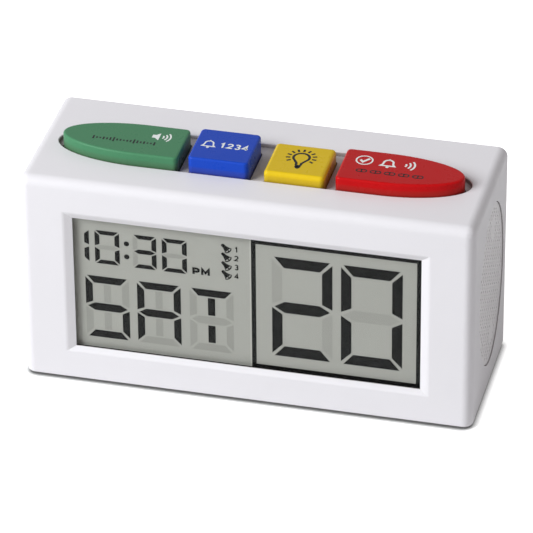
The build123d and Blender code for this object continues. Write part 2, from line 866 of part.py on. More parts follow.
# Speaker basket with its rim, sloped wall, back plate and terminal strip
basket_mouth = speaker_radius - 1.5
terminal_z = grille_z - speaker_radius + 0.2 + terminal_height / 2
with BuildPart() as speaker_basket:
    add(turned([
        (gasket_in_x, basket_mouth - basket_wall),
        (gasket_in_x, speaker_radius),
        (flange_in_x, speaker_radius),
        (flange_in_x, basket_mouth),
        (basket_back_x + 1, basket_back_radius),
        (basket_back_x, basket_back_radius),
        (basket_back_x, 0),
        (basket_back_x + basket_wall, 0),
        (basket_back_x + basket_wall, basket_back_radius - basket_wall),
        (flange_in_x, basket_mouth - basket_wall),
    ]))
    with BuildSketch(side_plane(flange_in_x)):
        with Locations((speaker_y, terminal_z)):
            Rectangle(terminal_width, terminal_height)
    extrude(amount=-1.5)
save(speaker_basket, "speaker_basket")

# Paper cone with its dust cap
cone_edge_x = gasket_in_x - 0.1
cap_radius = 4.0
cone_throat_x = basket_back_x + basket_wall + 1.2
with BuildPart() as speaker_cone:
    add(turned([
        (cone_edge_x, basket_mouth - basket_wall - 0.05),
        (cone_edge_x - cone_skin, basket_mouth - basket_wall - 0.05),
        (cone_throat_x, cap_radius),
        (cone_throat_x, 0),
        (cone_throat_x + 1.4, 0),
        (cone_throat_x + 1.2, cap_radius * 0.5),
        (cone_throat_x + cone_skin, cap_radius),
    ]))
save(speaker_cone, "speaker_cone")

with BuildPart() as speaker_magnet:
    add(turned([
        (magnet_back_x, 0),
        (magnet_back_x, magnet_radius - 0.5),
        (magnet_back_x + 0.5, magnet_radius),
        (basket_back_x, magnet_radius),
        (basket_back_x, 0),
    ]))
save(speaker_magnet, "speaker_magnet")

# Ring that clamps the basket to the grille's two posts
with BuildPart() as speaker_clamp:
    with BuildSketch(side_plane(flange_in_x - clamp_thickness)):
        with Locations((speaker_y, grille_z)):
            Circle(clamp_radius)
        for y, z in clamp_spots:
            with Locations((y, (z + grille_z) / 2)):
                Rectangle(2 * (post_radius + 1), abs(z - grille_z) + 2 * (post_radius + 1) - clamp_screw_z / 2)
            with Locations((y, z)):
                Circle(post_radius + 1)
        with Locations((speaker_y, grille_z)):
            Circle(basket_mouth + 0.3, mode=Mode.SUBTRACT)
        with Locations((speaker_y, terminal_z)):
            Rectangle(terminal_width + 1, terminal_height + 1, mode=Mode.SUBTRACT)
        with Locations(*clamp_spots):
            Circle(screw_radius + screw_free, mode=Mode.SUBTRACT)
    extrude(amount=clamp_thickness)
save(speaker_clamp, "speaker_clamp")

with BuildPart() as speaker_screws:
    for y, z in clamp_spots:
        spot = Plane(origin=(flange_in_x - clamp_thickness, y, z), x_dir=(0, 1, 0), z_dir=(1, 0, 0))
        add(screw(spot, clamp_thickness + grille_in_x - flange_in_x + 1.2))
save(speaker_screws, "speaker_screws")

# Rear cover: plate, battery bay, door pocket, control panel and posts
cover_width = 2 * (side_inner_x - cover_gap)
cover_height = top_inner_z - floor_inner_z - 2 * cover_gap
cover_z = (top_inner_z + floor_inner_z) / 2
bay_z = (bay_low + bay_high) / 2
with BuildPart() as rear_cover:
    plane, depth = slab(cover_in_y, cover_out_y)
    with BuildSketch(plane):
        with Locations((0, cover_z)):
            Rectangle(cover_width, cover_height)
    extrude(amount=depth)
    with BuildSketch(across(cover_in_y)):
        with Locations((bay_centre_x, bay_z)):
            Rectangle(2 * (bay_half + bay_wall), bay_length + 2 * bay_wall)
    extrude(amount=cover_in_y - bay_floor_y + bay_wall)
    with BuildSketch(across(cover_out_y)):
        with Locations((bay_centre_x, bay_z)):
            Rectangle(2 * bay_half, bay_length)
    extrude(amount=cover_out_y - bay_floor_y, mode=Mode.SUBTRACT)

    # Pocket that the door lies in, with sockets for its two hinge pins
    with BuildSketch(across(cover_out_y)):
        with Locations((bay_centre_x, (door_low + door_high) / 2)):
            Rectangle(2 * (door_half + door_gap), door_high - door_low + 2 * door_gap)
        with Locations((bay_centre_x, door_high + door_gap)):
            Rectangle(notch_width, 2.4)
    extrude(amount=door_thickness + door_seat_gap, mode=Mode.SUBTRACT)
    with BuildSketch(side_plane(bay_centre_x - door_half - hinge_pin_length - door_gap)):
        with Locations((hinge_y, hinge_z)):
            Circle(hinge_pin_radius + hinge_clearance)
    extrude(amount=2 * (door_half + hinge_pin_length + door_gap), mode=Mode.SUBTRACT)

    # Sunken control panel with key holes and switch slots
    with BuildSketch(across(cover_out_y)):
        with Locations((panel_x, panel_z)):
            RectangleRounded(panel_width, panel_height, 2.0)
    extrude(amount=panel_depth, mode=Mode.SUBTRACT)
    slot_width = knob_width + knob_travel + 2 * knob_clearance
    with BuildSketch(across(cover_out_y)):
        with Locations(*[(x, key_z) for x in key_xs]):
            Circle(key_radius + key_clearance)
        with Locations((volume_x + knob_travel / 2, switch_z), (mode_x + knob_travel / 2, switch_z)):
            Rectangle(slot_width, knob_height + 2 * knob_clearance)
    extrude(amount=cover_thickness, mode=Mode.SUBTRACT)

    # Posts for the key board, screw holes and counterbores
    with BuildSketch(across(cover_in_y)):
        with Locations(*key_board_spots):
            Circle(key_post_radius)
    extrude(amount=key_board_depth)
    with BuildSketch(across(cover_in_y - key_board_depth + screw_bite)):
        with Locations(*key_board_spots):
            Circle(screw_radius + screw_fit)
    extrude(amount=screw_bite, mode=Mode.SUBTRACT)
    with BuildSketch(across(cover_out_y)):
        with Locations(*cover_screw_spots):
            Circle(screw_radius + screw_free)
    extrude(amount=cover_thickness, mode=Mode.SUBTRACT)
    with BuildSketch(across(cover_out_y)):
        with Locations(*cover_screw_spots):
            Circle(head_radius + screw_free)
    extrude(amount=head_height + head_sink, mode=Mode.SUBTRACT)
save(rear_cover, "rear_cover")

cover_seat_y = cover_out_y - head_height - head_sink
with BuildPart() as cover_screws:
    for x, z in cover_screw_spots:
        spot = Plane(origin=(x, cover_seat_y, z), x_dir=(1, 0, 0), z_dir=(0, -1, 0))
        add(screw(spot, cover_seat_y - cover_in_y + screw_bite))
save(cover_screws, "cover_screws")

# Battery door: rounded lower edge about the hinge line, a finger notch lip at the top
with BuildPart() as battery_door:
    plane, depth = slab(door_in_y, cover_out_y)
    with BuildSketch(plane):
        with Locations((bay_centre_x, (hinge_z + door_high) / 2)):
            Rectangle(2 * door_half, door_high - hinge_z)
        with Locations((bay_centre_x, door_high)):
            Rectangle(notch_width - 1, 2.0)
    extrude(amount=depth)
    with BuildSketch(side_plane(bay_centre_x - door_half)):
        with Locations((hinge_y, hinge_z)):
            Circle(door_thickness / 2)
    extrude(amount=2 * door_half)
    with BuildSketch(side_plane(bay_centre_x - door_half - hinge_pin_length)):
        with Locations((hinge_y, hinge_z)):
            Circle(hinge_pin_radius)
    extrude(amount=2 * (door_half + hinge_pin_length))
    grip_z = door_high - 6.0
    with BuildSketch(across(cover_out_y)):
        for i in range(4):
            with Locations((bay_centre_x, grip_z - 1.8 * i)):
                Rectangle(notch_width, 0.9)
    extrude(amount=0.5, mode=Mode.SUBTRACT)
save(battery_door, "battery_door")

# Three cells side by side, every other one turned over
cell_low = bay_low + spring_height + 0.1


def cell(x, nub_up):
    """Round cell with its raised nub at the top or at the bottom."""
    can_length = cell_length - cell_nub_length
    contact_low = bay_high - cell_low - cell_length + bay_low
    bottom = cell_low if nub_up else contact_low
    can_z = bottom if nub_up else bottom + cell_nub_length
    with BuildPart(mode=Mode.PRIVATE) as body:
        with BuildSketch(Plane(origin=(x, cell_y, can_z))):
            Circle(cell_radius)
        extrude(amount=can_length)
        fillet(body.edges().filter_by(GeomType.CIRCLE), 0.6)
        with BuildSketch(Plane(origin=(x, cell_y, bottom))):
            Circle(cell_nub_radius)
        extrude(amount=cell_length)
    return body.part


with BuildPart() as battery_cell_1:
    add(cell(bay_centre_x - cell_pitch, True))
save(battery_cell_1, "battery_cell_1")

with BuildPart() as battery_cell_2:
    add(cell(bay_centre_x, False))
save(battery_cell_2, "battery_cell_2")

with BuildPart() as battery_cell_3:
    add(cell(bay_centre_x + cell_pitch, True))
save(battery_cell_3, "battery_cell_3")


def leaf(x, end_z, direction):
    """Bent spring strip standing off a bay end by spring_height."""
    s = direction
    t = contact_thickness
    w = cell_radius * 0.8
    h = spring_height
    with BuildPart(mode=Mode.PRIVATE) as body:
        with BuildSketch(Plane(origin=(x, cell_y + contact_width / 2, end_z), x_dir=(1, 0, 0), z_dir=(0, -1, 0))):
            with BuildLine():
                Polyline(
                    (-w, 0), (w, 0), (w, s * t), (-w + 3 * t, s * t), (w * 0.6, s * h * 0.55),
                    (w * 0.6, s * (h * 0.55 + t)), (-w * 0.2, s * (h - t)), (w * 0.2, s * (h - t)),
                    (w * 0.2, s * h), (-w * 0.5, s * h), (-w * 0.5, s * (h - t)),
                    (w * 0.25, s * (h * 0.55 + t * 0.4)), (-w, s * t), close=True,
                )
            make_face()
        extrude(amount=contact_width)
    return body.part


with BuildPart() as battery_springs:
    add(leaf(bay_centre_x - cell_pitch, bay_low, 1))
    add(leaf(bay_centre_x, bay_high, -1))
    add(leaf(bay_centre_x + cell_pitch, bay_low, 1))
save(battery_springs, "battery_springs")

with BuildPart() as battery_plates:
    for x, z in (
        (bay_centre_x - cell_pitch, bay_high - contact_thickness),
        (bay_centre_x, bay_low),
        (bay_centre_x + cell_pitch, bay_high - contact_thickness),
    ):
        with BuildSketch(Plane(origin=(x, cell_y, z))):
            Rectangle(cell_radius * 1.6, contact_width)
        extrude(amount=contact_thickness)
save(battery_plates, "battery_plates")

# Key board behind the control panel
with BuildPart() as key_board:
    plane, depth = slab(key_board_front_y, key_board_back_y)
    with BuildSketch(plane):
        with Locations((panel_x, panel_z)):
            Rectangle(key_board_width, key_board_height)
        with Locations(*key_board_spots):
            Circle(screw_radius + screw_free, mode=Mode.SUBTRACT)
    extrude(amount=depth)
save(key_board, "key_board")

with BuildPart() as key_board_screws:
    for x, z in key_board_spots:
        spot = Plane(origin=(x, key_board_front_y, z), x_dir=(1, 0, 0), z_dir=(0, 1, 0))
        add(screw(spot, board_thickness + screw_bite - 1))
save(key_board_screws, "key_board_screws")

# Four tact switches, one behind each rear key
with BuildPart() as tact_switches:
    for x in key_xs:
        with BuildSketch(Plane(origin=(x, key_board_back_y, key_z), x_dir=(-1, 0, 0), z_dir=(0, 1, 0))):
            Rectangle(tact_size, tact_size)
        extrude(amount=tact_height)
        with BuildSketch(Plane(origin=(x, key_board_back_y, key_z), x_dir=(-1, 0, 0), z_dir=(0, 1, 0))):
            Circle(tact_plunger_radius)
        extrude(amount=tact_height + tact_plunger_height)
save(tact_switches, "tact_switches")

tact_top_y = key_board_back_y + tact_height + tact_plunger_height


def rear_key(x):
    """Round key with an inner stop flange and a stem towards its tact switch."""
    flange_out_y = cover_in_y - stop_gap
    with BuildPart(mode=Mode.PRIVATE) as body:
        with BuildSketch(across(panel_out_y + key_proud, x, key_z)):
            Circle(key_radius)
        extrude(amount=panel_out_y + key_proud - flange_out_y + key_flange_thickness)
        fillet(body.faces().sort_by(Axis.Y)[-1].edges(), 0.5)
        with BuildSketch(across(flange_out_y, x, key_z)):
            Circle(key_flange_radius)
        extrude(amount=key_flange_thickness)
        with BuildSketch(across(flange_out_y, x, key_z)):
            Circle(key_stem_radius)
        extrude(amount=flange_out_y - tact_top_y - key_travel - 0.1)
    return body.part


with BuildPart() as hour_key:
    add(rear_key(key_xs[0]))
save(hour_key, key_names[0])

with BuildPart() as minute_key:
    add(rear_key(key_xs[1]))
save(minute_key, key_names[1])

with BuildPart() as calendar_key:
    add(rear_key(key_xs[2]))
save(calendar_key, key_names[2])

with BuildPart() as alarm_set_key:
    add(rear_key(key_xs[3]))
save(alarm_set_key, key_names[3])

# Two slide switch bodies with a channel for the knob's foot
with BuildPart() as slide_switches:
    for x in (volume_x, mode_x):
        middle = x + knob_travel / 2
        with BuildSketch(across(switch_top_y, middle, switch_z)):
            Rectangle(switch_width, switch_height)
        extrude(amount=switch_depth)
        with BuildSketch(across(switch_top_y, middle, switch_z)):
            Rectangle(slot_width, knob_height + 2 * knob_clearance)
        extrude(amount=channel_depth, mode=Mode.SUBTRACT)
save(slide_switches, "slide_switches")


def knob(x):
    """Slide switch knob at the low end of its travel, with a shield behind the slot."""
    out_y = panel_out_y + knob_proud
    foot_y = switch_top_y - channel_depth + 0.3
    with BuildPart(mode=Mode.PRIVATE) as body:
        with BuildSketch(across(out_y, x, switch_z)):
            Rectangle(knob_width, knob_height)
        extrude(amount=out_y - foot_y)
        with BuildSketch(across(knob_shield_out_y, x, switch_z)):
            Rectangle(knob_shield_width, knob_shield_height)
        extrude(amount=knob_shield_thickness)
        with BuildSketch(across(out_y, x, switch_z)):
            with GridLocations(1.1, 0, 3, 1):
                Rectangle(0.4, knob_height)
        extrude(amount=0.3, mode=Mode.SUBTRACT)
    return body.part


with BuildPart() as volume_knob:
    add(knob(volume_x))
save(volume_knob, "volume_knob")

with BuildPart() as mode_knob:
    add(knob(mode_x))
save(mode_knob, "mode_knob")


def lead(points, radius):
    """Round wire along points, with rounded corners."""
    with BuildPart(mode=Mode.PRIVATE) as body:
        with BuildLine() as path:
            FilletPolyline(*points, radius=radius)
        start = path.line @ 0
        with BuildSketch(Plane(origin=start, z_dir=path.line % 0)):
            Circle(lead_radius)
        sweep()
    return body.part


def ribbon(points, middle_x, radius):
    """Flat cable: a bent strip that follows (y, z) points."""
    with BuildPart(mode=Mode.PRIVATE) as body:
        with BuildSketch(side_plane(middle_x - ribbon_width / 2)):
            with BuildLine():
                FilletPolyline(*points, radius=radius)
            trace(line_width=ribbon_thickness)
        extrude(amount=ribbon_width)
    return body.part


# Wires inside the case
terminal_x = flange_in_x - 1.5
lead_x = magnet_back_x - lead_land
with BuildPart() as speaker_leads:
    for side in (-1, 1):
        y = speaker_y + side * lead_pitch / 2
        x = lead_x - side * lead_pitch / 2
        add(lead(
            [(terminal_x, y, terminal_z), (x, y, terminal_z), (x, board_back_y, terminal_z)],
            lead_bend,
        ))
save(speaker_leads, "speaker_leads")

lead_gap = bay_front_y - board_back_y
with BuildPart() as battery_leads:
    for x, z in (
        (bay_centre_x + bay_half - lead_side, bay_high - lead_top),
        (bay_centre_x - bay_half + lead_side, bay_low + lead_low),
    ):
        y = board_back_y + lead_gap * 0.55
        add(lead([
            (x, bay_front_y, z), (x, y, z), (x, y, z - lead_drop), (x, board_back_y, z - lead_drop)],
            lead_drop * 0.45,
        ))
save(battery_leads, "battery_leads")

drop_y = button_board_back - 2
turn_z = button_board_low_z - ribbon_drop
land_z = turn_z - ribbon_sweep
with BuildPart() as button_ribbon:
    add(ribbon([
        (drop_y, button_board_low_z), (drop_y, turn_z), (drop_y - 7, land_z), (board_back_y, land_z)],
        ribbon_x, ribbon_bend,
    ))
save(button_ribbon, "button_ribbon")

key_gap = key_board_front_y - board_back_y
key_ribbon_z = panel_z - 4.5
with BuildPart() as key_ribbon:
    add(ribbon([
        (key_board_front_y, key_ribbon_z), (board_back_y + key_gap * 0.66, key_ribbon_z),
        (board_back_y + key_gap * 0.42, key_ribbon_z - 4), (board_back_y, key_ribbon_z - 4)],
        panel_x, ribbon_bend * 0.8,
    ))
save(key_ribbon, "key_ribbon")
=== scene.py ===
import math

import bpy
import numpy as np
from mathutils import Matrix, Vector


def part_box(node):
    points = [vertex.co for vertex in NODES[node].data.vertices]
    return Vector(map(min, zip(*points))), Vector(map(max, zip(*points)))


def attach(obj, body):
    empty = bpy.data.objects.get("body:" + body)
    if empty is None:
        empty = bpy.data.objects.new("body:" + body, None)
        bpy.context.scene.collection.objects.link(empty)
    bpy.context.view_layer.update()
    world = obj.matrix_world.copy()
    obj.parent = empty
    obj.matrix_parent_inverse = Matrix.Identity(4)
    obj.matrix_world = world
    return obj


bl_info = {
    "name": "Talking alarm clock finish",
    "version": (1, 0, 0),
    "blender": (4, 5, 0),
    "location": "View3D > Sidebar > Clock",
    "description": "Finishes, display, key symbols and small parts of a talking alarm clock",
    "category": "Object",
}

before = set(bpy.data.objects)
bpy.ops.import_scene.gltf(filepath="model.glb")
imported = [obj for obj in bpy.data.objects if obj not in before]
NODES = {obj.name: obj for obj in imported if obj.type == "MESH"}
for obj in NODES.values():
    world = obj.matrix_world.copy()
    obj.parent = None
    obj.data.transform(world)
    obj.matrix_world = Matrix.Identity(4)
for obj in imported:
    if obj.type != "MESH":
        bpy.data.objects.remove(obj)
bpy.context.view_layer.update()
MM = 0.001
BODY = "clock"
PRINT_GAP = 0.02 * MM
PANEL_DEPTH = 1.2 * MM

# Dust tone, and painted shade in narrow gaps: how far a gap is felt, and the levels between which the shade
# is painted
GAP_SHADE_TONE = (0.10, 0.062, 0.045)
DUST_TONE = (0.52, 0.50, 0.47)
GAP_REACH = 5.0 * MM
GAP_SHARES = (0.2, 0.85)
UNSHADED_BELOW = (6.0 * MM, 7.5 * MM)
RIM_FADE = (0.6 * MM, 0.1 * MM)
KEY_RIM = 73.0 * MM

# Display, in millimetres in the clock's frame
FRAME_TOP = 57.0
PANE_RIGHT = 52.12
PANE_LEVELS = (12.5, 55.3)
# Dark bars painted as shadow at the foot and head of the left pane's film
EDGE_SHADE_TOP = 11.27
HEAD_SHADE_LINE = (56.6, 57.4)

# A row of digits: foot, head, thickness of its upright and of its level bars, and the slant of their ends
DATE_ROW = (16.4, 51.62, 3.2, 3.65, 0.74)
TIME_ROW = (41.57, 53.28, 1.5, 1.4, 0.33)
DAY_ROW = (14.95, 36.91, 2.25, 2.5, 0.58)
DAY_WIDTH = 13.7

# Stage, in metres; a lamp has its direction from the clock and its distance
SKY_TINT = (1.0, 0.97, 0.955)
LAMP_TINT = (0.95, 0.985, 1.0)
KEY_LAMP = ((-0.60, -0.54, 0.58), 1.7)
FILL_LAMP = ((0.75, 0.40, 0.55), 1.8)
LAMP_SIZE = 1.0
LAMP_AIM = (0, 0, 0.035)
# Painted contact shadow on the floor: its darkest share, its reach and the occlusion levels over which it
# fades
CONTACT_DARK = 0.1
CONTACT_REACH = 2.6 * MM
CONTACT_SHADES = (0.42, 0.97)
FLOOR_REACH = 4.0
FLOOR_GLOW = 0.88
FLOOR_MIRRORED = 0.3
CAMERA_RIGHT = (0.971210524781953, 0.23809168309163722, -0.007903606477707036)
CAMERA_UP = (-0.11994721667345701, 0.5174084544795461, 0.8472904793784585)
CAMERA_BACK = (0.2058222091151823, -0.821949415521222, 0.5310709713016399)
CAMERA_PLACE = (0.277355, -1.105713, 0.747955)


# Node helpers


def put(tree, kind, inputs=None, **settings):
    """Adds a node. An input given as a socket is linked, and any other value is set."""
    node = tree.nodes.new(kind)
    for name, value in settings.items():
        setattr(node, name, value)
    for name, value in (inputs or {}).items():
        if isinstance(value, bpy.types.NodeSocket):
            tree.links.new(value, node.inputs[name])
        else:
            node.inputs[name].default_value = value
    return node


def maths(tree, operation, first, second=0.5, clamp=False):
    """Result of a Math node."""
    node = put(tree, "ShaderNodeMath", {0: first, 1: second}, operation=operation, use_clamp=clamp)
    return node.outputs[0]


def spread(tree, value, low, high, from_low=0.0, from_high=1.0):
    """value carried from one range to another, held at the ends."""
    node = put(tree, "ShaderNodeMapRange", {
        "Value": value, "From Min": from_low, "From Max": from_high, "To Min": low, "To Max": high})
    return node.outputs["Result"]


def blend_colours(tree, share, first, second):
    """Mix of two colours by share."""
    node = put(tree, "ShaderNodeMix", {0: share}, data_type="RGBA")
    for index, value in ((6, first), (7, second)):
        if isinstance(value, bpy.types.NodeSocket):
            tree.links.new(value, node.inputs[index])
        else:
            node.inputs[index].default_value = (*value[:3], 1.0)
    return node.outputs[2]


def object_point(tree, scale=(1, 1, 1), shift=(0, 0, 0), turn=(0, 0, 0)):
    """Point of the surface in the object's own space, scaled, turned and shifted."""
    point = put(tree, "ShaderNodeTexCoord").outputs["Object"]
    inputs = {"Vector": point, "Scale": scale, "Location": shift, "Rotation": turn}
    return put(tree, "ShaderNodeMapping", inputs).outputs["Vector"]


def noise(tree, vector, scale, detail=2.0, roughness=0.5, distortion=0.0):
    """Value of a noise texture."""
    node = put(tree, "ShaderNodeTexNoise", {
        "Vector": vector, "Scale": scale, "Detail": detail, "Roughness": roughness, "Distortion": distortion})
    return node.outputs[0]


def new_group(name, inputs, outputs):
    """Empty shader group with its sockets, and its two ends."""
    tree = bpy.data.node_groups.new(name, "ShaderNodeTree")
    for label, value in inputs:
        socket = tree.interface.new_socket(label, in_out="INPUT", socket_type="NodeSocketFloat")
        socket.default_value = value
    for label in outputs:
        tree.interface.new_socket(label, in_out="OUTPUT", socket_type="NodeSocketFloat")
    return tree, tree.nodes.new("NodeGroupInput").outputs, tree.nodes.new("NodeGroupOutput").inputs


def moulded_grain():
    """Spark-eroded mould grain as a height, a broad mottle and soft smudges, each from 0 to 1."""
    if "Moulded grain" in bpy.data.node_groups:
        return bpy.data.node_groups["Moulded grain"]
    sizes = [("Grain Scale", 3200.0), ("Mottle Scale", 70.0)]
    tree, given, made = new_group("Moulded grain", sizes, ["Height", "Mottle", "Smudge"])
    point = object_point(tree)
    fine = noise(tree, point, given["Grain Scale"], 2.5, 0.6)
    coarse = noise(tree, point, maths(tree, "MULTIPLY", given["Grain Scale"], 0.35), 1.0)
    height = maths(tree, "ADD", maths(tree, "MULTIPLY", fine, 0.65), maths(tree, "MULTIPLY", coarse, 0.35))
    tree.links.new(height, made["Height"])
    clouds = noise(tree, point, given["Mottle Scale"], 3.0)
    tree.links.new(spread(tree, clouds, 0, 1, 0.32, 0.68), made["Mottle"])
    patches = noise(tree, point, maths(tree, "MULTIPLY", given["Mottle Scale"], 2.6), 5.0, 0.62, 0.8)
    tree.links.new(spread(tree, patches, 0, 1, 0.42, 0.7), made["Smudge"])
    return tree


def hairline_wear():
    """Thin hairlines in three directions and small nicks, as masks from 0 to 1."""
    if "Hairline wear" in bpy.data.node_groups:
        return bpy.data.node_groups["Hairline wear"]
    tree, given, made = new_group("Hairline wear", [("Amount", 0.5)], ["Lines", "Nicks"])
    total = None
    for turn, stretch in ((0.4, 2600.0), (1.7, 3400.0), (2.6, 2200.0)):
        angles = (turn * 0.7, turn, turn * 1.3)
        point = object_point(tree, (stretch, 55.0, stretch * 0.8), (turn, 0, 0), angles)
        line = spread(tree, noise(tree, point, 1.0, 1.0), 0, 1, 0.72, 0.76)
        total = line if total is None else maths(tree, "MAXIMUM", total, line)
    broken = spread(tree, noise(tree, object_point(tree), 210.0, 2.0), 0, 1, 0.5, 0.62)
    lines = maths(tree, "MULTIPLY", maths(tree, "MULTIPLY", total, broken), given["Amount"])
    tree.links.new(lines, made["Lines"])
    spots = spread(tree, noise(tree, object_point(tree), 900.0, 2.0, 0.7), 0, 1, 0.74, 0.78)
    tree.links.new(maths(tree, "MULTIPLY", spots, given["Amount"]), made["Nicks"])
    return tree


def settled_dust():
    """Dust that lies on faces that look up and gathers in patches, from 0 to 1."""
    if "Settled dust" in bpy.data.node_groups:
        return bpy.data.node_groups["Settled dust"]
    tree, given, made = new_group("Settled dust", [("Amount", 0.3)], ["Dust"])
    normal = put(tree, "ShaderNodeNewGeometry").outputs["Normal"]
    up = put(tree, "ShaderNodeSeparateXYZ", {0: normal}).outputs["Z"]
    flat = spread(tree, up, 0, 1, 0.5, 0.95)
    specks = spread(tree, noise(tree, object_point(tree), 420.0, 4.0, 0.7), 0, 1, 0.5, 0.75)
    film = spread(tree, noise(tree, object_point(tree), 45.0, 3.0), 0.2, 1, 0.4, 0.7)
    dust = maths(tree, "MULTIPLY", maths(tree, "MULTIPLY", flat, specks), film)
    tree.links.new(maths(tree, "MULTIPLY", dust, given["Amount"]), made["Dust"])
    return tree


def use_group(tree, group, **values):
    """Places a node group with its own values and returns its outputs."""
    node = tree.nodes.new("ShaderNodeGroup")
    node.node_tree = group
    for name, value in values.items():
        node.inputs[name.replace("_", " ").title()].default_value = value
    return node.outputs


def bare_material(name):
    """New node material with only its output."""
    made = bpy.data.materials.new(name)
    made.use_nodes = True
    made.node_tree.nodes.clear()
    return made, made.node_tree, made.node_tree.nodes.new("ShaderNodeOutputMaterial")


def finished(made, out, shader, colour, roughness, metallic=0.0):
    """Links the shader to the output, and sets how the material looks in the plain viewport."""
    made.node_tree.links.new(shader.outputs[0], out.inputs[0])
    made.diffuse_color = (*colour[:3], 1.0)
    made.roughness = roughness
    made.metallic = metallic
    return made


def plastic(name, colour, roughness, grain=3200.0, depth=0.012, mottle=0.05, wear=0.25, dust=0.15,
            specular=0.5, top_shade=1.0, gap_shade=0.0, rim=1.0):
    """Moulded plastic or rubber: grain as bump, a slight mottle, smudges and hairlines in the gloss.

    grain is the grain's scale per metre and depth its relief in millimetres.
    top_shade is the share of its brightness that a face that looks up keeps: painted shade on the tops.
    gap_shade is the cover of painted brown shade in narrow gaps, and rim is the level that it stays below.
    """
    made, tree, out = bare_material(name)
    skin = use_group(tree, moulded_grain(), grain_scale=grain)
    marks = use_group(tree, hairline_wear(), amount=wear)
    dirt = use_group(tree, settled_dust(), amount=dust)["Dust"]
    deep = tuple(c * 0.86 for c in colour)
    pale = tuple(c * 0.7 + 0.2 for c in colour)
    tone = blend_colours(tree, maths(tree, "MULTIPLY", skin["Mottle"], mottle * 3), colour, deep)
    # Painted shade: faces that look up are made darker.
    if top_shade < 1.0:
        facing = put(tree, "ShaderNodeNewGeometry").outputs["Normal"]
        level = put(tree, "ShaderNodeSeparateXYZ", {0: facing}).outputs["Z"]
        roof = spread(tree, level, 0, 1, 0.9, 0.99)
        tone = blend_colours(tree, roof, tone, tuple(c * top_shade for c in colour))
    tone = blend_colours(tree, maths(tree, "MULTIPLY", marks["Lines"], 0.25), tone, pale)
    tone = blend_colours(tree, maths(tree, "MULTIPLY", dirt, 0.35), tone, DUST_TONE)
    # Painted shade: narrow gaps, found by occlusion, darken towards a brown tone between the low level and
    # the rim.
    if gap_shade > 0.0:
        gap = put(tree, "ShaderNodeAmbientOcclusion", {"Distance": GAP_REACH}, samples=6).outputs["AO"]
        height = put(tree, "ShaderNodeSeparateXYZ", {0: object_point(tree)}).outputs["Z"]
        cover = spread(tree, height, gap_shade, 0, rim - RIM_FADE[0], rim - RIM_FADE[1])
        cover = maths(tree, "MULTIPLY", cover, spread(tree, height, 0, 1, *UNSHADED_BELOW))
        cover = maths(tree, "MULTIPLY", cover, spread(tree, gap, 1, 0, *GAP_SHARES))
        tone = blend_colours(tree, cover, tone, GAP_SHADE_TONE)
    gloss = spread(tree, skin["Smudge"], roughness * 0.9, min(1.0, roughness * 1.22))
    gloss = maths(tree, "ADD", gloss, maths(tree, "MULTIPLY", marks["Lines"], 0.22), True)
    gloss = maths(tree, "ADD", gloss, maths(tree, "MULTIPLY", dirt, 0.25), True)
    relief = maths(tree, "SUBTRACT", skin["Height"], maths(tree, "MULTIPLY", marks["Nicks"], 0.6))
    bump = put(tree, "ShaderNodeBump", {"Height": relief, "Strength": 0.5, "Distance": depth * MM})
    shader = put(tree, "ShaderNodeBsdfPrincipled", {
        "Base Color": tone, "Roughness": gloss, "Normal": bump.outputs[0],
        "Specular IOR Level": specular})
    return finished(made, out, shader, colour, roughness)


def metal(name, colour, roughness, brush=(1, 1, 1), depth=0.01, tarnish=0.25):
    """Plated or brushed metal: stretched grain, tarnish patches and hairlines."""
    made, tree, out = bare_material(name)
    grain = noise(tree, object_point(tree, brush), 2200.0, 3.0, 0.6)
    skin = use_group(tree, moulded_grain(), grain_scale=2600.0, mottle_scale=160.0)
    marks = use_group(tree, hairline_wear(), amount=0.8)
    dull = tuple(c * 0.55 for c in colour)
    tone = blend_colours(tree, maths(tree, "MULTIPLY", skin["Mottle"], tarnish), colour, dull)
    gloss = spread(tree, skin["Smudge"], roughness * 0.8, min(1.0, roughness * 1.5))
    gloss = maths(tree, "ADD", gloss, maths(tree, "MULTIPLY", marks["Lines"], 0.2), True)
    relief = maths(tree, "SUBTRACT", grain, marks["Nicks"])
    bump = put(tree, "ShaderNodeBump", {"Height": relief, "Strength": 0.5, "Distance": depth * MM})
    shader = put(tree, "ShaderNodeBsdfPrincipled", {
        "Base Color": tone, "Roughness": gloss, "Normal": bump.outputs[0], "Metallic": 1.0})
    return finished(made, out, shader, colour, roughness, 1.0)


def ink(name, colour, roughness=0.45, coverage=0.04):
    """Screen-printed or etched layer with a slight unevenness in tone and gloss."""
    made, tree, out = bare_material(name)
    uneven = noise(tree, object_point(tree), 700.0, 3.0)
    faded = tuple(c * 0.6 + 0.03 for c in colour)
    tone = blend_colours(tree, spread(tree, uneven, 0, coverage * 4), colour, faded)
    gloss = spread(tree, uneven, roughness * 0.85, roughness * 1.15)
    shader = put(tree, "ShaderNodeBsdfPrincipled", {
        "Base Color": tone, "Roughness": gloss, "Specular IOR Level": 0.1})
    return finished(made, out, shader, colour, roughness)


def display_film(colour):
    """Grey-green reflective film behind the liquid crystal: fine sparkle and broad soft bands."""
    made, tree, out = bare_material("Display film")
    sparkle = noise(tree, object_point(tree), 5200.0, 1.0)
    bands = noise(tree, object_point(tree, (1.0, 1.0, 0.18)), 140.0, 2.0)
    warm = (colour[0] * 0.93, colour[1] * 0.885, colour[2] * 0.87)
    tone = blend_colours(tree, maths(tree, "MULTIPLY", bands, 0.15), colour, warm)
    tone = blend_colours(tree, spread(tree, sparkle, 0, 0.16), tone, tuple(c * 0.8 for c in colour))
    bump = put(tree, "ShaderNodeBump", {"Height": sparkle, "Strength": 0.3, "Distance": 0.004 * MM})
    shader = put(tree, "ShaderNodeBsdfPrincipled", {
        "Base Color": tone, "Roughness": spread(tree, sparkle, 0.5, 0.62), "Normal": bump.outputs[0],
        "Specular IOR Level": 0.25})
    return finished(made, out, shader, colour, 0.55)


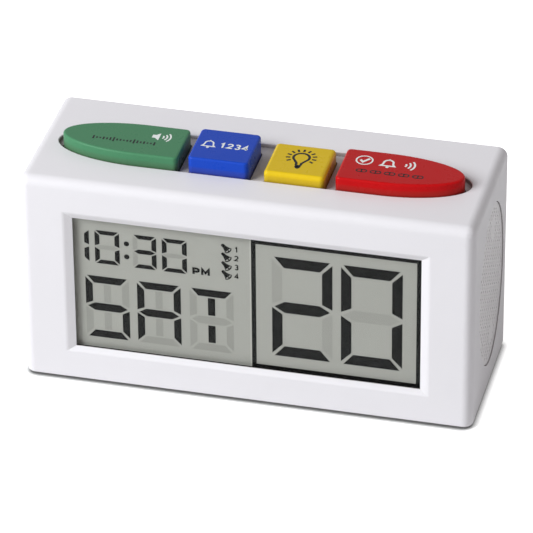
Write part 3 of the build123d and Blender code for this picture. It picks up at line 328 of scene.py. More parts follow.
def clear_window(name, tint, shine, roughness):
    """Thin clear moulding: lets everything through and mirrors a little more at a low angle."""
    made, tree, out = bare_material(name)
    skin = use_group(tree, moulded_grain(), grain_scale=900.0, mottle_scale=40.0)
    marks = use_group(tree, hairline_wear(), amount=0.15)
    glance = put(tree, "ShaderNodeFresnel", {"IOR": 1.46}).outputs[0]
    share = maths(tree, "MULTIPLY", glance, shine)
    gloss = spread(tree, skin["Smudge"], roughness, roughness * 1.6)
    gloss = maths(tree, "ADD", gloss, marks["Lines"], True)
    through = put(tree, "ShaderNodeBsdfTransparent", {"Color": (*tint, 1.0)}).outputs[0]
    mirror = put(tree, "ShaderNodeBsdfAnisotropic", {"Roughness": gloss, "Color": (1, 1, 1, 1)}).outputs[0]
    mix = put(tree, "ShaderNodeMixShader", {0: share, 1: through, 2: mirror})
    return finished(made, out, mix, tint, roughness)


def circuit_board(name, colour, face, pad_scale=230.0):
    """Solder mask with copper tracks and plated dots. face lists the board's two long axes."""
    made, tree, out = bare_material(name)
    flatten = [1.0 if axis in face else 0.0 for axis in "XYZ"]
    point = object_point(tree, tuple(flatten))
    cells = put(
        tree, "ShaderNodeTexVoronoi", {"Vector": point, "Scale": 190.0, "Randomness": 0.75},
        feature="DISTANCE_TO_EDGE")
    tracks = spread(tree, cells.outputs["Distance"], 1, 0, 0.05, 0.075)
    dots = put(tree, "ShaderNodeTexVoronoi", {"Vector": point, "Scale": pad_scale, "Randomness": 0.35})
    pads = spread(tree, dots.outputs["Distance"], 1, 0, 0.16, 0.19)
    holes = spread(tree, dots.outputs["Distance"], 1, 0, 0.07, 0.09)
    weave = noise(tree, object_point(tree), 2600.0, 2.0)
    copper = tuple(c * 1.9 + 0.02 for c in colour)
    mask_tone = blend_colours(tree, maths(tree, "MULTIPLY", tracks, 0.55), colour, copper)
    mask_tone = blend_colours(tree, spread(tree, weave, 0, 0.2), mask_tone, tuple(c * 0.6 for c in colour))
    tone = blend_colours(tree, pads, mask_tone, (0.62, 0.60, 0.55))
    tone = blend_colours(tree, holes, tone, (0.02, 0.02, 0.02))
    relief = maths(tree, "ADD", maths(tree, "MULTIPLY", tracks, 0.6), pads)
    bump = put(tree, "ShaderNodeBump", {"Height": relief, "Strength": 0.6, "Distance": 0.04 * MM})
    shader = put(tree, "ShaderNodeBsdfPrincipled", {
        "Base Color": tone, "Roughness": spread(tree, pads, 0.42, 0.25),
        "Metallic": maths(tree, "MULTIPLY", pads, 0.9), "Normal": bump.outputs[0]})
    return finished(made, out, shader, colour, 0.4)


def cell_sleeve(colour, low, high):
    """Plain two-tone sleeve of a round cell, with bare metal at both ends, below low and above high."""
    made, tree, out = bare_material("Cell sleeve")
    fade = 0.4 * MM
    height = put(tree, "ShaderNodeSeparateXYZ", {0: object_point(tree)}).outputs["Z"]
    below = spread(tree, height, 1, 0, low, low + fade)
    above = spread(tree, height, 0, 1, high - fade, high)
    bare = maths(tree, "MAXIMUM", below, above)
    length = high - low
    band = spread(tree, height, 0, 1, low + length * 0.62, low + length * 0.622)
    skin = use_group(tree, moulded_grain(), grain_scale=1800.0)
    tone = blend_colours(tree, band, colour, (0.60, 0.28, 0.07))
    tone = blend_colours(tree, maths(tree, "MULTIPLY", skin["Mottle"], 0.15), tone, (0.02, 0.02, 0.02))
    tone = blend_colours(tree, bare, tone, (0.68, 0.67, 0.64))
    bump = put(tree, "ShaderNodeBump", {"Height": skin["Height"], "Strength": 0.3, "Distance": 0.01 * MM})
    shader = put(tree, "ShaderNodeBsdfPrincipled", {
        "Base Color": tone, "Roughness": spread(tree, skin["Smudge"], 0.24, 0.36), "Metallic": bare,
        "Normal": bump.outputs[0]})
    return finished(made, out, shader, colour, 0.3)


def coned_paper(colour, centre):
    """Coated paper cone with pressed rings round the speaker's axis and loose fibres."""
    made, tree, out = bare_material("Speaker cone paper")
    ring_pitch = 1.1 * MM
    point = object_point(tree, (0, 1, 1), (0, -centre[1], -centre[2]))
    radius = put(tree, "ShaderNodeVectorMath", {0: point}, operation="LENGTH").outputs["Value"]
    rings = maths(tree, "SINE", maths(tree, "MULTIPLY", radius, 2 * math.pi / ring_pitch))
    fibres = noise(tree, object_point(tree), 2400.0, 4.0, 0.7)
    relief = maths(tree, "ADD", maths(tree, "MULTIPLY", rings, 0.5), maths(tree, "MULTIPLY", fibres, 0.4))
    pale = tuple(c * 1.8 + 0.01 for c in colour)
    tone = blend_colours(tree, spread(tree, fibres, 0, 1, 0.35, 0.7), colour, pale)
    bump = put(tree, "ShaderNodeBump", {"Height": relief, "Strength": 0.7, "Distance": 0.12 * MM})
    shader = put(tree, "ShaderNodeBsdfPrincipled", {
        "Base Color": tone, "Roughness": spread(tree, fibres, 0.65, 0.85), "Normal": bump.outputs[0]})
    return finished(made, out, shader, colour, 0.75)


# Piece helpers


def dress(names, made):
    """Gives CAD nodes a material and leaves their meshes alone."""
    for name in names:
        mesh = NODES[name].data
        mesh.materials.clear()
        mesh.materials.append(made)


def new_piece(name, vertices, faces, made, body):
    """Mesh object from arrays in metres, in the clock's own frame, that rides a body."""
    mesh = bpy.data.meshes.new(name)
    mesh.from_pydata(np.asarray(vertices, float).tolist(), [], [list(map(int, f)) for f in faces])
    mesh.materials.append(made)
    mesh.validate()
    mesh.update()
    made_object = bpy.data.objects.new(name, mesh)
    bpy.context.scene.collection.objects.link(made_object)
    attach(made_object, body)
    return made_object


def flat_print(name, outlines, level, facing, made, body):
    """Thin printed shapes on one plane.

    outlines are arrays of (across, up) points in millimetres, anticlockwise as the print is read.
    Facing front puts them at y = level as (x, z), back as (-x, z), and top at z = level as (x, y).
    """
    points = np.concatenate([np.asarray(o, float) for o in outlines]) * MM
    across, up = points[:, 0], points[:, 1]
    flat = np.full(len(points), level)
    layout = {"front": (across, flat, up), "back": (-across, flat, up), "top": (across, up, flat)}
    vertices = np.stack(layout[facing], 1)
    ends = np.cumsum([0] + [len(o) for o in outlines])
    faces = [range(a, b) for a, b in zip(ends[:-1], ends[1:])]
    return new_piece(name, vertices, faces, made, body)


def stroke(points, width, closed=False):
    """Outline of a line of constant width.

    Each point moves half the width, along its corner's mitre, to both sides. The mitre is the
    normal of the mean of the two legs' directions, and its length is divided by its share on the
    leg's own normal.
    """
    p = np.asarray(points, float)
    if closed:
        before, after = p - np.roll(p, 1, 0), np.roll(p, -1, 0) - p
    else:
        legs = np.diff(p, axis=0)
        before = np.vstack([legs[:1], legs])
        after = np.vstack([legs, legs[-1:]])
    before = before / np.linalg.norm(before, axis=1, keepdims=True)
    after = after / np.linalg.norm(after, axis=1, keepdims=True)
    middle = before + after
    middle /= np.linalg.norm(middle, axis=1, keepdims=True)
    normal = np.stack([-middle[:, 1], middle[:, 0]], 1)
    side = np.stack([-after[:, 1], after[:, 0]], 1)
    reach = width / 2 / np.maximum((normal * side).sum(1), 0.4)
    left, right = p + normal * reach[:, None], p - normal * reach[:, None]
    if not closed:
        return [np.vstack([right, left[::-1]])]
    n = len(p)
    return [np.array([right[i], right[(i + 1) % n], left[(i + 1) % n], left[i]]) for i in range(n)]


def arc(centre, radius, start, end, steps=24):
    """Points on an arc, angles in degrees."""
    a = np.radians(np.linspace(start, end, steps))
    return np.stack([centre[0] + radius * np.cos(a), centre[1] + radius * np.sin(a)], 1)


def disc(centre, radius, steps=28):
    """Outline of a round dot."""
    return arc(centre, radius, 0, 360, steps + 1)[:-1]


def bar(low_x, high_x, low_y, high_y):
    """Outline of an upright rectangle."""
    return np.array([(low_x, low_y), (high_x, low_y), (high_x, high_y), (low_x, high_y)])


def moved(outlines, across, up, scale=1.0):
    """Outlines scaled and then moved."""
    return [np.asarray(o) * scale + (across, up) for o in outlines]


# Symbols, each about 10 units high round (0, 0)


def bell_sign(width=0.8):
    """Bell outline: a dome on flared sides, a rim and a clapper."""
    dome = arc((0, 0.6), 2.7, 180, 0, 17)
    side = [(3.0, -1.6), (4.0, -3.0)]
    points = [(-4.0, -3.0), (-3.0, -1.6), *dome.tolist(), *side]
    return stroke(points, width, True) + [disc((0, -4.3), 0.9), disc((0, 3.9), 0.6)]


def voice_sign(width=0.8):
    """Small loudspeaker with three sound waves."""
    horn = np.array([(-4.6, -1.5), (-2.9, -1.5), (-0.6, -3.6), (-0.6, 3.6), (-2.9, 1.5), (-4.6, 1.5)])
    waves = [w for r in (2.0, 3.9, 5.8) for w in stroke(arc((-0.4, 0), r, -42, 42, 14), width)]
    return [horn] + waves


def wave_signs(width=1.1):
    """Three sound waves going out to the right."""
    return [w for r in (2.2, 4.6, 7.0) for w in stroke(arc((-2.4, 0), r, -40, 40, 14), width)]


def lamp_sign(width=1.1):
    """Light bulb outline with its cap and eleven rays."""
    globe = arc((0, 1.4), 3.4, 222, -42, 30)
    outline = [(-1.0, -4.9), (-1.05, -3.4), *globe.tolist(), (1.05, -3.4), (1.0, -4.9)]
    cap = [bar(-1.3, 1.3, -6.7, -4.7), disc((0, -6.8), 1.0)]
    rays = []
    for a in np.radians(np.linspace(-32, 212, 11)):
        d = np.array([math.cos(a), math.sin(a)])
        rays += stroke([d * 4.7 + (0, 1.4), d * 6.6 + (0, 1.4)], width * 0.85)
    return stroke(outline, width) + cap + rays


def tick_sign(width=1.3):
    """Tick inside a ring."""
    ring = stroke(disc((0, 0), 4.6, 36), width * 0.6, True)
    return stroke([(-2.3, 0.1), (-0.6, -1.9), (2.7, 2.2)], width) + ring


def capsule_sign(width=0.7):
    """Capsule lying down, with a seam in its middle."""
    right = arc((2.0, 0), 1.7, -90, 90, 10)
    left = arc((-2.0, 0), 1.7, 90, 270, 10)
    return stroke(np.vstack([right, left]), width, True) + [bar(-width / 2, width / 2, -1.7, 1.7)]


def dial_sign(length, width=0.7):
    """Clock dial with one hand of the given length."""
    hand = stroke([(0, 0), (length * 0.5, length * 0.86)], width * 1.3)
    return stroke(disc((0, 0), 4.0, 32), width, True) + hand


def calendar_sign(width=0.7):
    """Calendar leaf with a header and six squares."""
    frame_line = stroke([(-4, -3.8), (4, -3.8), (4, 3.8), (-4, 3.8)], width, True)
    squares = [bar(x - 0.6, x + 0.6, y - 0.6, y + 0.6) for x in (-2.3, 0, 2.3) for y in (-2.0, 0.2)]
    return frame_line + [bar(-4, 4, 1.9, 3.8)] + squares


# Display digits


def digit_bars(left, right, low, high, upright, level, cut):
    """The nine bars of a display digit, each named by its usual letter, as outlines with mitred ends.

    upright and level are the bars' thicknesses, and cut is the slant of their ends.
    """
    middle = (low + high) / 2
    half = level * 0.54
    inner_l, inner_r = left + upright, right - upright
    near = 0.8 * cut
    centre = (left + right) / 2
    bars = {
        "a": [(inner_l + near, high - level), (inner_r - near, high - level), (right - cut, high),
              (left + cut, high)],
        "d": [(left + cut, low), (right - cut, low), (inner_r - near, low + level),
              (inner_l + near, low + level)],
        "g": [(left + cut, middle), (inner_l + cut, middle - half), (inner_r - cut, middle - half),
              (right - cut, middle), (inner_r - cut, middle + half), (inner_l + cut, middle + half)],
        "f": [(left, middle + 1.25 * cut), (inner_l, middle + half + near), (inner_l, high - level - near),
              (left, high - 1.15 * cut)],
        "e": [(left, low + 1.15 * cut), (inner_l, low + level + near), (inner_l, middle - half - near),
              (left, middle - 0.5 * cut)],
        "b": [(inner_r, middle + half + near), (right, middle + 1.25 * cut), (right, high - 1.15 * cut),
              (inner_r, high - level - near)],
        "c": [(inner_r, low + level + near), (right, low + 1.15 * cut), (right, middle - 0.9 * cut),
              (inner_r, middle - half - near)],
    }
    for name, foot, head in (("h", middle + half, high - level), ("i", low + level, middle - half)):
        bars[name] = bar(centre - upright / 2, centre + upright / 2, foot + near, head - near)
    return {name: np.array(points) for name, points in bars.items()}


LIT = {"0": "abcdef", "2": "abged", "3": "abgcd", "S": "afgcd", "A": "abcefg", "T": "ahi"}


# Sizes and colours that a user may change


def size_property(label, default, text):
    """Length property in metres."""
    return bpy.props.FloatProperty(
        name=label, description=text, default=default, min=0.0, precision=5, unit="LENGTH")


def colour_property(label, default, text):
    """Linear colour property."""
    return bpy.props.FloatVectorProperty(
        name=label, description=text, default=default, min=0.0, max=1.0, subtype="COLOR")


def share_property(label, default, text, high=1.0):
    """Plain number property."""
    return bpy.props.FloatProperty(name=label, description=text, default=default, min=0.0, max=high)


class ClockCaseLook(bpy.types.PropertyGroup):
    """Finish of the case."""

    housing: colour_property("Housing", (0.815, 0.79, 0.822), "Colour of the white case")
    cover: colour_property("Cover", (0.785, 0.765, 0.79), "Colour of the rear cover and battery door")
    grille: colour_property("Grille", (0.84, 0.81, 0.83), "Colour of the speaker grille")
    foot: colour_property("Foot", (0.035, 0.035, 0.038), "Colour of the rubber feet")
    gloss: share_property("Roughness", 0.42, "Roughness of the case")


class ClockKeyLook(bpy.types.PropertyGroup):
    """Finish of the keys."""

    talk: colour_property("Talk key", (0.075, 0.25, 0.125), "Green of the talk key")
    check: colour_property("Check key", (0.012, 0.068, 0.53), "Blue of the alarm check key")
    light: colour_property("Light key", (0.80, 0.55, 0.015), "Yellow of the light key")
    dismiss: colour_property("Dismiss key", (0.56, 0.004, 0.006), "Red of the dismiss key")
    rear: colour_property("Rear keys", (0.20, 0.21, 0.23), "Grey of the rear keys")
    white_ink: colour_property("White ink", (0.82, 0.84, 0.83), "Pale print on the keys")
    dark_ink: colour_property("Dark ink", (0.012, 0.012, 0.014), "Dark print on the keys")
    gloss: share_property("Roughness", 0.30, "Roughness of the keys")
    symbol: size_property("Symbol height", 6.2 * MM, "Height of a key's symbol")


class ClockDisplayLook(bpy.types.PropertyGroup):
    """Layout and colours of the display."""

    film: colour_property("Film", (0.462, 0.455, 0.425), "Reflective film")
    # This colour also paints the shadow lines at the foot and head of the left pane.
    bars: colour_property("Bars", (0.006, 0.006, 0.006), "Lit bars and the black frame")
    ghost: colour_property("Resting bars", (0.38, 0.373, 0.347), "Time and weekday bars that are off")
    ghost_date: colour_property("Resting date bars", (0.405, 0.395, 0.37), "Date bars that are off")
    split: size_property("Split", 1.25 * MM, "Where the date pane starts, from the clock's middle")
    border: size_property("Border", 1.4 * MM, "Width of the date pane's black frame")
    shine: share_property("Lens shine", 0.12, "Share of the lens's reflection that its coating leaves")


class ClockStageLook(bpy.types.PropertyGroup):
    """Camera and light."""

    lens: bpy.props.FloatProperty(
        name="Lens", description="Focal length on a 36 mm film", default=297.08, min=1.0, unit="CAMERA")
    key_power: share_property("Key lamp", 29.6, "Power of the soft lamp at the front left", 1000.0)
    fill_power: share_property("Fill lamp", 2.3, "Power of the weak soft lamp at the right", 1000.0)
    sky: share_property("Sky", 0.29, "Strength of the plain white surroundings", 10.0)
    floor: colour_property("Floor", (0.80, 0.80, 0.80), "Colour of the plain floor")


# Operators


class ClockFinishCase(bpy.types.Operator):
    """Finish the case, cover, door, grille and feet"""

    bl_idname = "clock.finish_case"
    bl_label = "Case"

    def execute(self, context):
        look = context.scene.clock_case
        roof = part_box("main_housing")[1].z
        # The housing gets painted shade in the narrow gaps round the keys.
        dress(["main_housing"], plastic(
            "Housing white", tuple(look.housing), look.gloss, mottle=0.02, wear=0.12, dust=0.0,
            specular=0.15, gap_shade=0.85, rim=roof))
        dress(["rear_cover", "battery_door"], plastic(
            "Cover white", tuple(look.cover), look.gloss * 1.15, grain=2400.0, depth=0.03, mottle=0.03,
            dust=0.05))
        dress(["speaker_grille"], plastic(
            "Grille white", tuple(look.grille), look.gloss, mottle=0.03, dust=0.1, specular=0.25))
        dress(["feet"], plastic(
            "Foot rubber", tuple(look.foot), 0.8, grain=1600.0, depth=0.06, mottle=0.2, wear=0.3, dust=0.2,
            specular=0.3))
        return {"FINISHED"}


class ClockFinishKeys(bpy.types.Operator):
    """Colour the four top keys and print their symbols"""

    bl_idname = "clock.finish_keys"
    bl_label = "Top keys"

    def execute(self, context):
        look = context.scene.clock_keys
        pale = ink("Pale key print", tuple(look.white_ink), 0.4)
        dark = ink("Dark key print", tuple(look.dark_ink), 0.4)
        tall = look.symbol / MM / 10
        tones = {"talk": "green", "check": "blue", "light": "yellow", "dismiss": "red"}
        for key, tone in tones.items():
            # Each key gets painted shade on its top and in the gaps beside it.
            dress([key + "_button"], plastic(
                f"Key {tone}", tuple(getattr(look, key)), look.gloss, grain=3000.0, depth=0.008, mottle=0.04,
                wear=0.12, dust=0.0, specular=0.1, top_shade=0.82, gap_shade=0.6, rim=KEY_RIM))
        voice = [bar(x - 0.26, x + 0.26, -h, h) for x, h in voice_pattern(19)]
        # Each print has its place in millimetres from the middle of its key, and its scale
        prints = [
            ("talk", "voice_sign", voice_sign(0.9), 11.0, 2.4, tall * 0.92, pale),
            ("talk", "voice_pattern", voice, 0.6, -2.0, 1.0, dark),
            ("check", "bell_sign", bell_sign(1.0), -4.9, 0.2, tall * 0.78, pale),
            ("check", "alarm_numbers", check_numbers(), -0.7, 0.0, 1.0, pale),
            ("light", "lamp_sign", lamp_sign(), 0.1, 0.4, tall * 1.16, dark),
            ("dismiss", "tick_sign", tick_sign(1.5), -12.4, 2.9, tall * 0.86, pale),
            ("dismiss", "bell_sign", bell_sign(1.2), -5.0, 2.7, tall * 0.86, pale),
            ("dismiss", "sound_waves", wave_signs(), 0.6, 2.6, tall * 0.86, pale),
            ("dismiss", "capsules", capsule_row(5), -12.0, -3.2, 1.0, dark),
        ]
        for key, name, outlines, across, up, scale, made in prints:
            low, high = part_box(key + "_button")
            x, y = (low.x + high.x) / 2 / MM + across, (low.y + high.y) / 2 / MM + up
            flat_print(
                f"{key}_{name}", moved(outlines, x, y, scale), high.z + PRINT_GAP, "top", made,
                key + "_button")
        return {"FINISHED"}


def voice_pattern(count):
    """Places and half heights of the bars of a spoken-sound pattern: a sine's size under a slow wave."""
    x = np.linspace(-9.5, 9.5, count)
    swell = 0.35 + 0.9 * np.abs(np.sin(x * 0.42)) * (0.6 + 0.4 * np.cos(x * 1.9))
    return np.stack([x, swell], 1).tolist()


def check_numbers():
    """Numbers 1 to 4 in a row."""
    return sum([moved(numeral(number), 2.35 * i, 0.0, 1.5) for i, number in enumerate("1234")], [])


def capsule_row(count):
    """Row of small capsules."""
    return sum([moved(capsule_sign(1.0), 4.3 * i, 0.0, 0.42) for i in range(count)], [])


class ClockFillDisplay(bpy.types.Operator):
    """Lay out the display: film, frame, lit and resting bars, and the lens"""

    bl_idname = "clock.fill_display"
    bl_label = "Display"

    def execute(self, context):
        look = context.scene.clock_display
        low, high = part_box("lcd_panel")
        dress(["lcd_panel"], display_film(tuple(look.film)))
        dress(["display_lens"], clear_window("Lens clear", (0.97, 0.975, 0.97), look.shine, 0.03))
        lit, resting, resting_date = display_layout()
        dark = ink("Display bars", tuple(look.bars), 0.35, 0.01)
        ghost = ink("Display resting bars", tuple(look.ghost), 0.5, 0.02)
        ghost_date = ink("Display resting date bars", tuple(look.ghost_date), 0.5, 0.02)
        pale = ink("Display seam", tuple(min(1.0, c * 1.35) for c in look.film), 0.4)
        split, border, inset = look.split / MM, look.border / MM, 0.3
        left_end, foot, head = low.x / MM + inset, low.z / MM + inset, high.z / MM - inset
        outer = bar(split, high.x / MM - 2 * inset, foot, FRAME_TOP)
        inner = bar(split + border, PANE_RIGHT, *PANE_LEVELS)
        black = [np.array([outer[i], outer[(i + 1) % 4], inner[(i + 1) % 4], inner[i]]) for i in range(4)]
        # Painted shadow: two dark bars at the foot and head of the left pane's film.
        black += [bar(left_end, split, low.z / MM + 0.1, EDGE_SHADE_TOP), bar(left_end, split, *HEAD_SHADE_LINE)]
        for name, outlines, layer, made in (
                ("resting_bars", resting, 1, ghost), ("resting_date", resting_date, 1, ghost_date),
                ("lit_bars", lit, 2, dark), ("black_frame", black, 2, dark),
                ("seam", [bar(split - 0.45, split - 0.1, foot, head)], 2, pale)):
            flat_print(
                "display_" + name, outlines, low.y - layer * PRINT_GAP, "front", made, BODY)
        return {"FINISHED"}


def display_layout():
    """Outlines of the lit bars, the resting bars and the date's resting bars, in millimetres."""
    lit, resting, resting_date = [], [], []

    def digit(sign, left, right, row, rest=resting, cross=False):
        for name, outline in digit_bars(left, right, *row).items():
            if name in LIT[sign]:
                lit.append(outline)
            elif cross or name not in "hi":
                rest.append(outline)

    for sign, left, right in (("2", 7.6, 26.27), ("0", 28.91, 47.79)):
        digit(sign, left, right, DATE_ROW, resting_date)
    for sign, left, right in (("0", -47.44, -39.72), ("3", -35.55, -28.18), ("0", -26.45, -18.7)):
        digit(sign, left, right, TIME_ROW)
    one = digit_bars(-57.0, -49.24, *TIME_ROW)
    lit += [one["b"], one["c"]]
    lit += [disc((-37.51, z), 0.85) for z in (49.67, 45.07)]
    for sign, left in (("S", -50.79), ("A", -34.57), ("T", -18.1)):
        digit(sign, left, left + DAY_WIDTH, DAY_ROW, cross=True)
    lit += half_day_sign(-16.7, 41.95, 2.0)
    for number, z in zip("1234", (52.4, 49.3, 46.2, 43.05)):
        lit += moved(tilted_bell(), -6.5, z, 1.08)
        lit += moved(numeral(number), -3.3, z - 0.1, 1.0)
    return lit, resting, resting_date


def tilted_bell():
    """Solid bell leaning to the left with its round mouth in front, 3 units high round (0, 0)."""
    along = np.array((0.69, -0.72))
    across = np.array((0.72, 0.69))
    profile = [(-1.75, 0.28), (-1.45, 0.5), (-0.6, 0.55), (0.1, 0.8), (0.75, 1.12)]
    upper = [along * a + across * h for a, h in profile]
    lower = [along * a - across * h for a, h in reversed(profile)]
    t = np.linspace(0, math.pi, 15)[:, None]
    mouth = stroke(along * (0.75 + 0.62 * np.sin(t)) + across * 1.12 * np.cos(t), 0.34)
    return [np.array(lower[::-1] + upper[::-1])[::-1]] + mouth + [disc(tuple(along * 1.05), 0.26, 10)]


def numeral(sign):
    """Small round-cornered numeral, 1.7 units high round (0, 0)."""
    lines = {
        "1": [(-0.32, 0.5), (0.12, 0.85), (0.12, -0.85)],
        "2": [*arc((0, 0.36), 0.48, 165, -30, 9).tolist(), (-0.52, -0.72), (0.55, -0.72)],
        "3": [*arc((0, 0.42), 0.4, 155, -75, 9).tolist(), *arc((0, -0.4), 0.44, 75, -155, 9).tolist()],
        "4": [(0.25, -0.85), (0.25, 0.8), (-0.5, -0.35), (0.6, -0.35)],
    }
    return stroke(lines[sign], 0.38)


def half_day_sign(left, low, height):
    """Afternoon mark in two drawn letters."""
    first = [(0, 0), (0, 1), (0.56, 1), (0.78, 0.86), (0.78, 0.6), (0.56, 0.46), (0.1, 0.46)]
    second = [(1.36, 0), (1.36, 1), (1.86, 0.36), (2.36, 1), (2.36, 0)]
    return moved(stroke(first, 0.37) + stroke(second, 0.37), left, low, height)


class ClockFinishRear(bpy.types.Operator):
    """Finish the rear keys, slide knobs and their printed symbols"""

    bl_idname = "clock.finish_rear"
    bl_label = "Rear controls"

    def execute(self, context):
        look = context.scene.clock_keys
        rear_keys = ["hour_key", "minute_key", "calendar_key", "alarm_set_key"]
        for nodes, name, colour, roughness, grain in (
                (rear_keys, "Rear key grey", tuple(look.rear), 0.42, 2600.0),
                (["volume_knob", "mode_knob"], "Knob black", (0.02, 0.02, 0.022), 0.4, 2600.0),
                (["tact_switches", "slide_switches"], "Switch body", (0.03, 0.03, 0.032), 0.45, 2200.0)):
            dress(nodes, plastic(name, colour, roughness, grain=grain, depth=0.02))
        dark = ink("Cover print", (0.10, 0.10, 0.11), 0.5)
        signs = [dial_sign(1.9), dial_sign(3.2), calendar_sign(), bell_sign()]
        outlines = []
        for key, sign in zip(rear_keys, signs):
            low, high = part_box(key)
            outlines += moved(sign, -(low.x + high.x) / 2 / MM, high.z / MM + 1.1, 0.3)
        low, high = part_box("volume_knob")
        start = -(low.x + high.x) / 2 / MM
        foot = (low.z + high.z) / 2 / MM - 4.2
        # Under the volume knob five bars, each lower than the last, and under the other a bell and a ring
        for i in range(5):
            left = start - 5.2 + 1.3 * i
            outlines.append(bar(left, left + 0.7, foot, foot + 0.4 + 0.35 * (4 - i)))
        low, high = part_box("mode_knob")
        start = -(low.x + high.x) / 2 / MM
        outlines += moved(bell_sign(), start - 4.2, foot + 0.8, 0.22)
        outlines += stroke(disc((start, foot + 0.8), 0.75, 20), 0.25, True)
        panel_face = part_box("rear_cover")[1].y - PANEL_DEPTH
        flat_print("rear_panel_print", outlines, panel_face + PRINT_GAP, "back", dark, BODY)
        low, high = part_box("battery_door")
        centre = -(low.x + high.x) / 2 / MM
        arrow = np.array([(-2.2, 0), (2.2, 0), (0, 3.0)])
        cell = stroke([(-7, -2.4), (7, -2.4), (7, 2.4), (-7, 2.4)], 0.4, True) + [bar(7.2, 8.0, -1.0, 1.0)]
        marks = [bar(4.0, 6.0, -0.2, 0.2), bar(4.8, 5.2, -1.0, 1.0), bar(-6.0, -4.0, -0.2, 0.2)]
        head = high.z / MM
        door_print = moved([arrow], centre, head - 17.5) + moved(cell + marks, centre, head - 28.0)
        flat_print(
            "door_print", door_print, high.y + PRINT_GAP, "back", dark, "battery_door")
        return {"FINISHED"}


class ClockFinishSpeaker(bpy.types.Operator):
    """Finish the speaker behind the grille"""

    bl_idname = "clock.finish_speaker"
    bl_label = "Speaker"

    def execute(self, context):
        low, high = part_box("speaker_magnet")
        centre = tuple((low + high) / 2)
        dress(["speaker_cone"], coned_paper((0.03, 0.03, 0.03), centre))
        dress(["speaker_gasket"], plastic(
            "Gasket foam", (0.04, 0.04, 0.04), 0.9, grain=1500.0, depth=0.1, mottle=0.3, wear=0.0, dust=0.0,
            specular=0.2))
        dress(["speaker_basket", "speaker_clamp"], metal("Basket steel", (0.60, 0.60, 0.58), 0.35))
        dress(["speaker_magnet"], metal("Magnet plating", (0.32, 0.32, 0.33), 0.3, brush=(1, 1, 6)))
        return {"FINISHED"}


class ClockFinishElectronics(bpy.types.Operator):
    """Finish the boards, chips, display backing and wires"""

    bl_idname = "clock.finish_electronics"
    bl_label = "Electronics"

    def execute(self, context):
        green = (0.018, 0.11, 0.045)
        dress(["main_board", "key_board"], circuit_board("Board green upright", green, "XZ"))
        dress(["button_board"], circuit_board("Board green level", green, "XY"))
        dress(["sound_chip", "clock_chip", "amplifier_chip"], plastic(
            "Chip resin", (0.012, 0.012, 0.013), 0.28, grain=1400.0, depth=0.03, mottle=0.2, wear=0.1,
            dust=0.2))
        dress(["clock_crystal"], metal("Tinned can", (0.74, 0.74, 0.76), 0.22, brush=(6, 1, 1)))
        dress(["backlight_panel"], clear_window("Light guide", (0.86, 0.9, 0.93), 0.8, 0.25))
        dress(["talk_dome", "check_dome", "light_dome", "dismiss_dome"], plastic(
            "Silicone grey", (0.45, 0.45, 0.44), 0.55, grain=2000.0, depth=0.02, mottle=0.06, wear=0.0,
            dust=0.3))
        for nodes, name, colour, roughness, grain, depth in (
                (["capacitors"], "Capacitor sleeve", (0.015, 0.02, 0.05), 0.3, 1800.0, 0.01),
                (["contact_strips"], "Contact strip", (0.03, 0.03, 0.035), 0.7, 1800.0, 0.03),
                (["lcd_holder"], "Holder white", (0.62, 0.62, 0.62), 0.5, 2200.0, 0.02),
                (["backlight_leds"], "Lamp body", (0.80, 0.78, 0.66), 0.35, 2000.0, 0.01),
                (["speaker_leads", "battery_leads"], "Wire red", (0.38, 0.02, 0.015), 0.35, 1600.0, 0.02),
                (["button_ribbon", "key_ribbon"], "Ribbon grey", (0.35, 0.35, 0.36), 0.45, 1600.0, 0.03)):
            dress(nodes, plastic(name, colour, roughness, grain=grain, depth=depth))
        return {"FINISHED"}


class ClockFinishPower(bpy.types.Operator):
    """Finish the cells, their contacts and all screws"""

    bl_idname = "clock.finish_power"
    bl_label = "Cells and screws"

    def execute(self, context):
        low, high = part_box("battery_cell_1")
        sleeve = cell_sleeve((0.035, 0.036, 0.04), low.z + 0.8 * MM, high.z - 1.6 * MM)
        dress(["battery_cell_1", "battery_cell_2", "battery_cell_3"], sleeve)
        nickel = metal("Contact nickel", (0.72, 0.70, 0.65), 0.24, brush=(1, 1, 5))
        dress(["battery_springs", "battery_plates"], nickel)
        screws = [n for n in NODES if n.endswith("screws")]
        dress(screws, metal("Screw steel", (0.62, 0.62, 0.64), 0.28, depth=0.015, tarnish=0.3))
        return {"FINISHED"}


class ClockSetStage(bpy.types.Operator):
    """Set the floor, the soft light and the camera"""

    bl_idname = "clock.set_stage"
    bl_label = "Stage"

    def execute(self, context):
        look = context.scene.clock_stage
        scene = context.scene
        scene.view_settings.view_transform = "Standard"
        studio_floor(tuple(look.floor))
        surroundings(look.sky)
        soft_lamp("key_lamp", *KEY_LAMP, look.key_power)
        soft_lamp("fill_lamp", *FILL_LAMP, look.fill_power)
        camera = bpy.data.cameras.new("photo_camera")
        camera.sensor_width = 36.0
        camera.lens = look.lens
        camera.clip_start = 0.05
        camera.clip_end = 30.0
        camera_object = bpy.data.objects.new("photo_camera", camera)
        axes = Matrix((CAMERA_RIGHT, CAMERA_UP, CAMERA_BACK)).transposed().to_4x4()
        axes.translation = CAMERA_PLACE
        camera_object.matrix_world = axes
        scene.collection.objects.link(camera_object)
        scene.camera = camera_object
        return {"FINISHED"}


def soft_lamp(name, direction, distance, power):
    """Round soft lamp in a direction from the clock, that faces it."""
    lamp = bpy.data.lights.new(name, "AREA")
    lamp.energy = power
    lamp.shape = "DISK"
    lamp.size = LAMP_SIZE
    lamp.color = LAMP_TINT
    back = np.asarray(direction, float) / np.linalg.norm(direction)
    right = np.cross((0, 0, 1), back)
    right = right / np.linalg.norm(right)
    axes = Matrix((right, np.cross(back, right), back)).transposed().to_4x4()
    axes.translation = tuple(float(v) for v in back * distance + LAMP_AIM)
    holder = bpy.data.objects.new(name, lamp)
    holder.matrix_world = axes
    bpy.context.scene.collection.objects.link(holder)


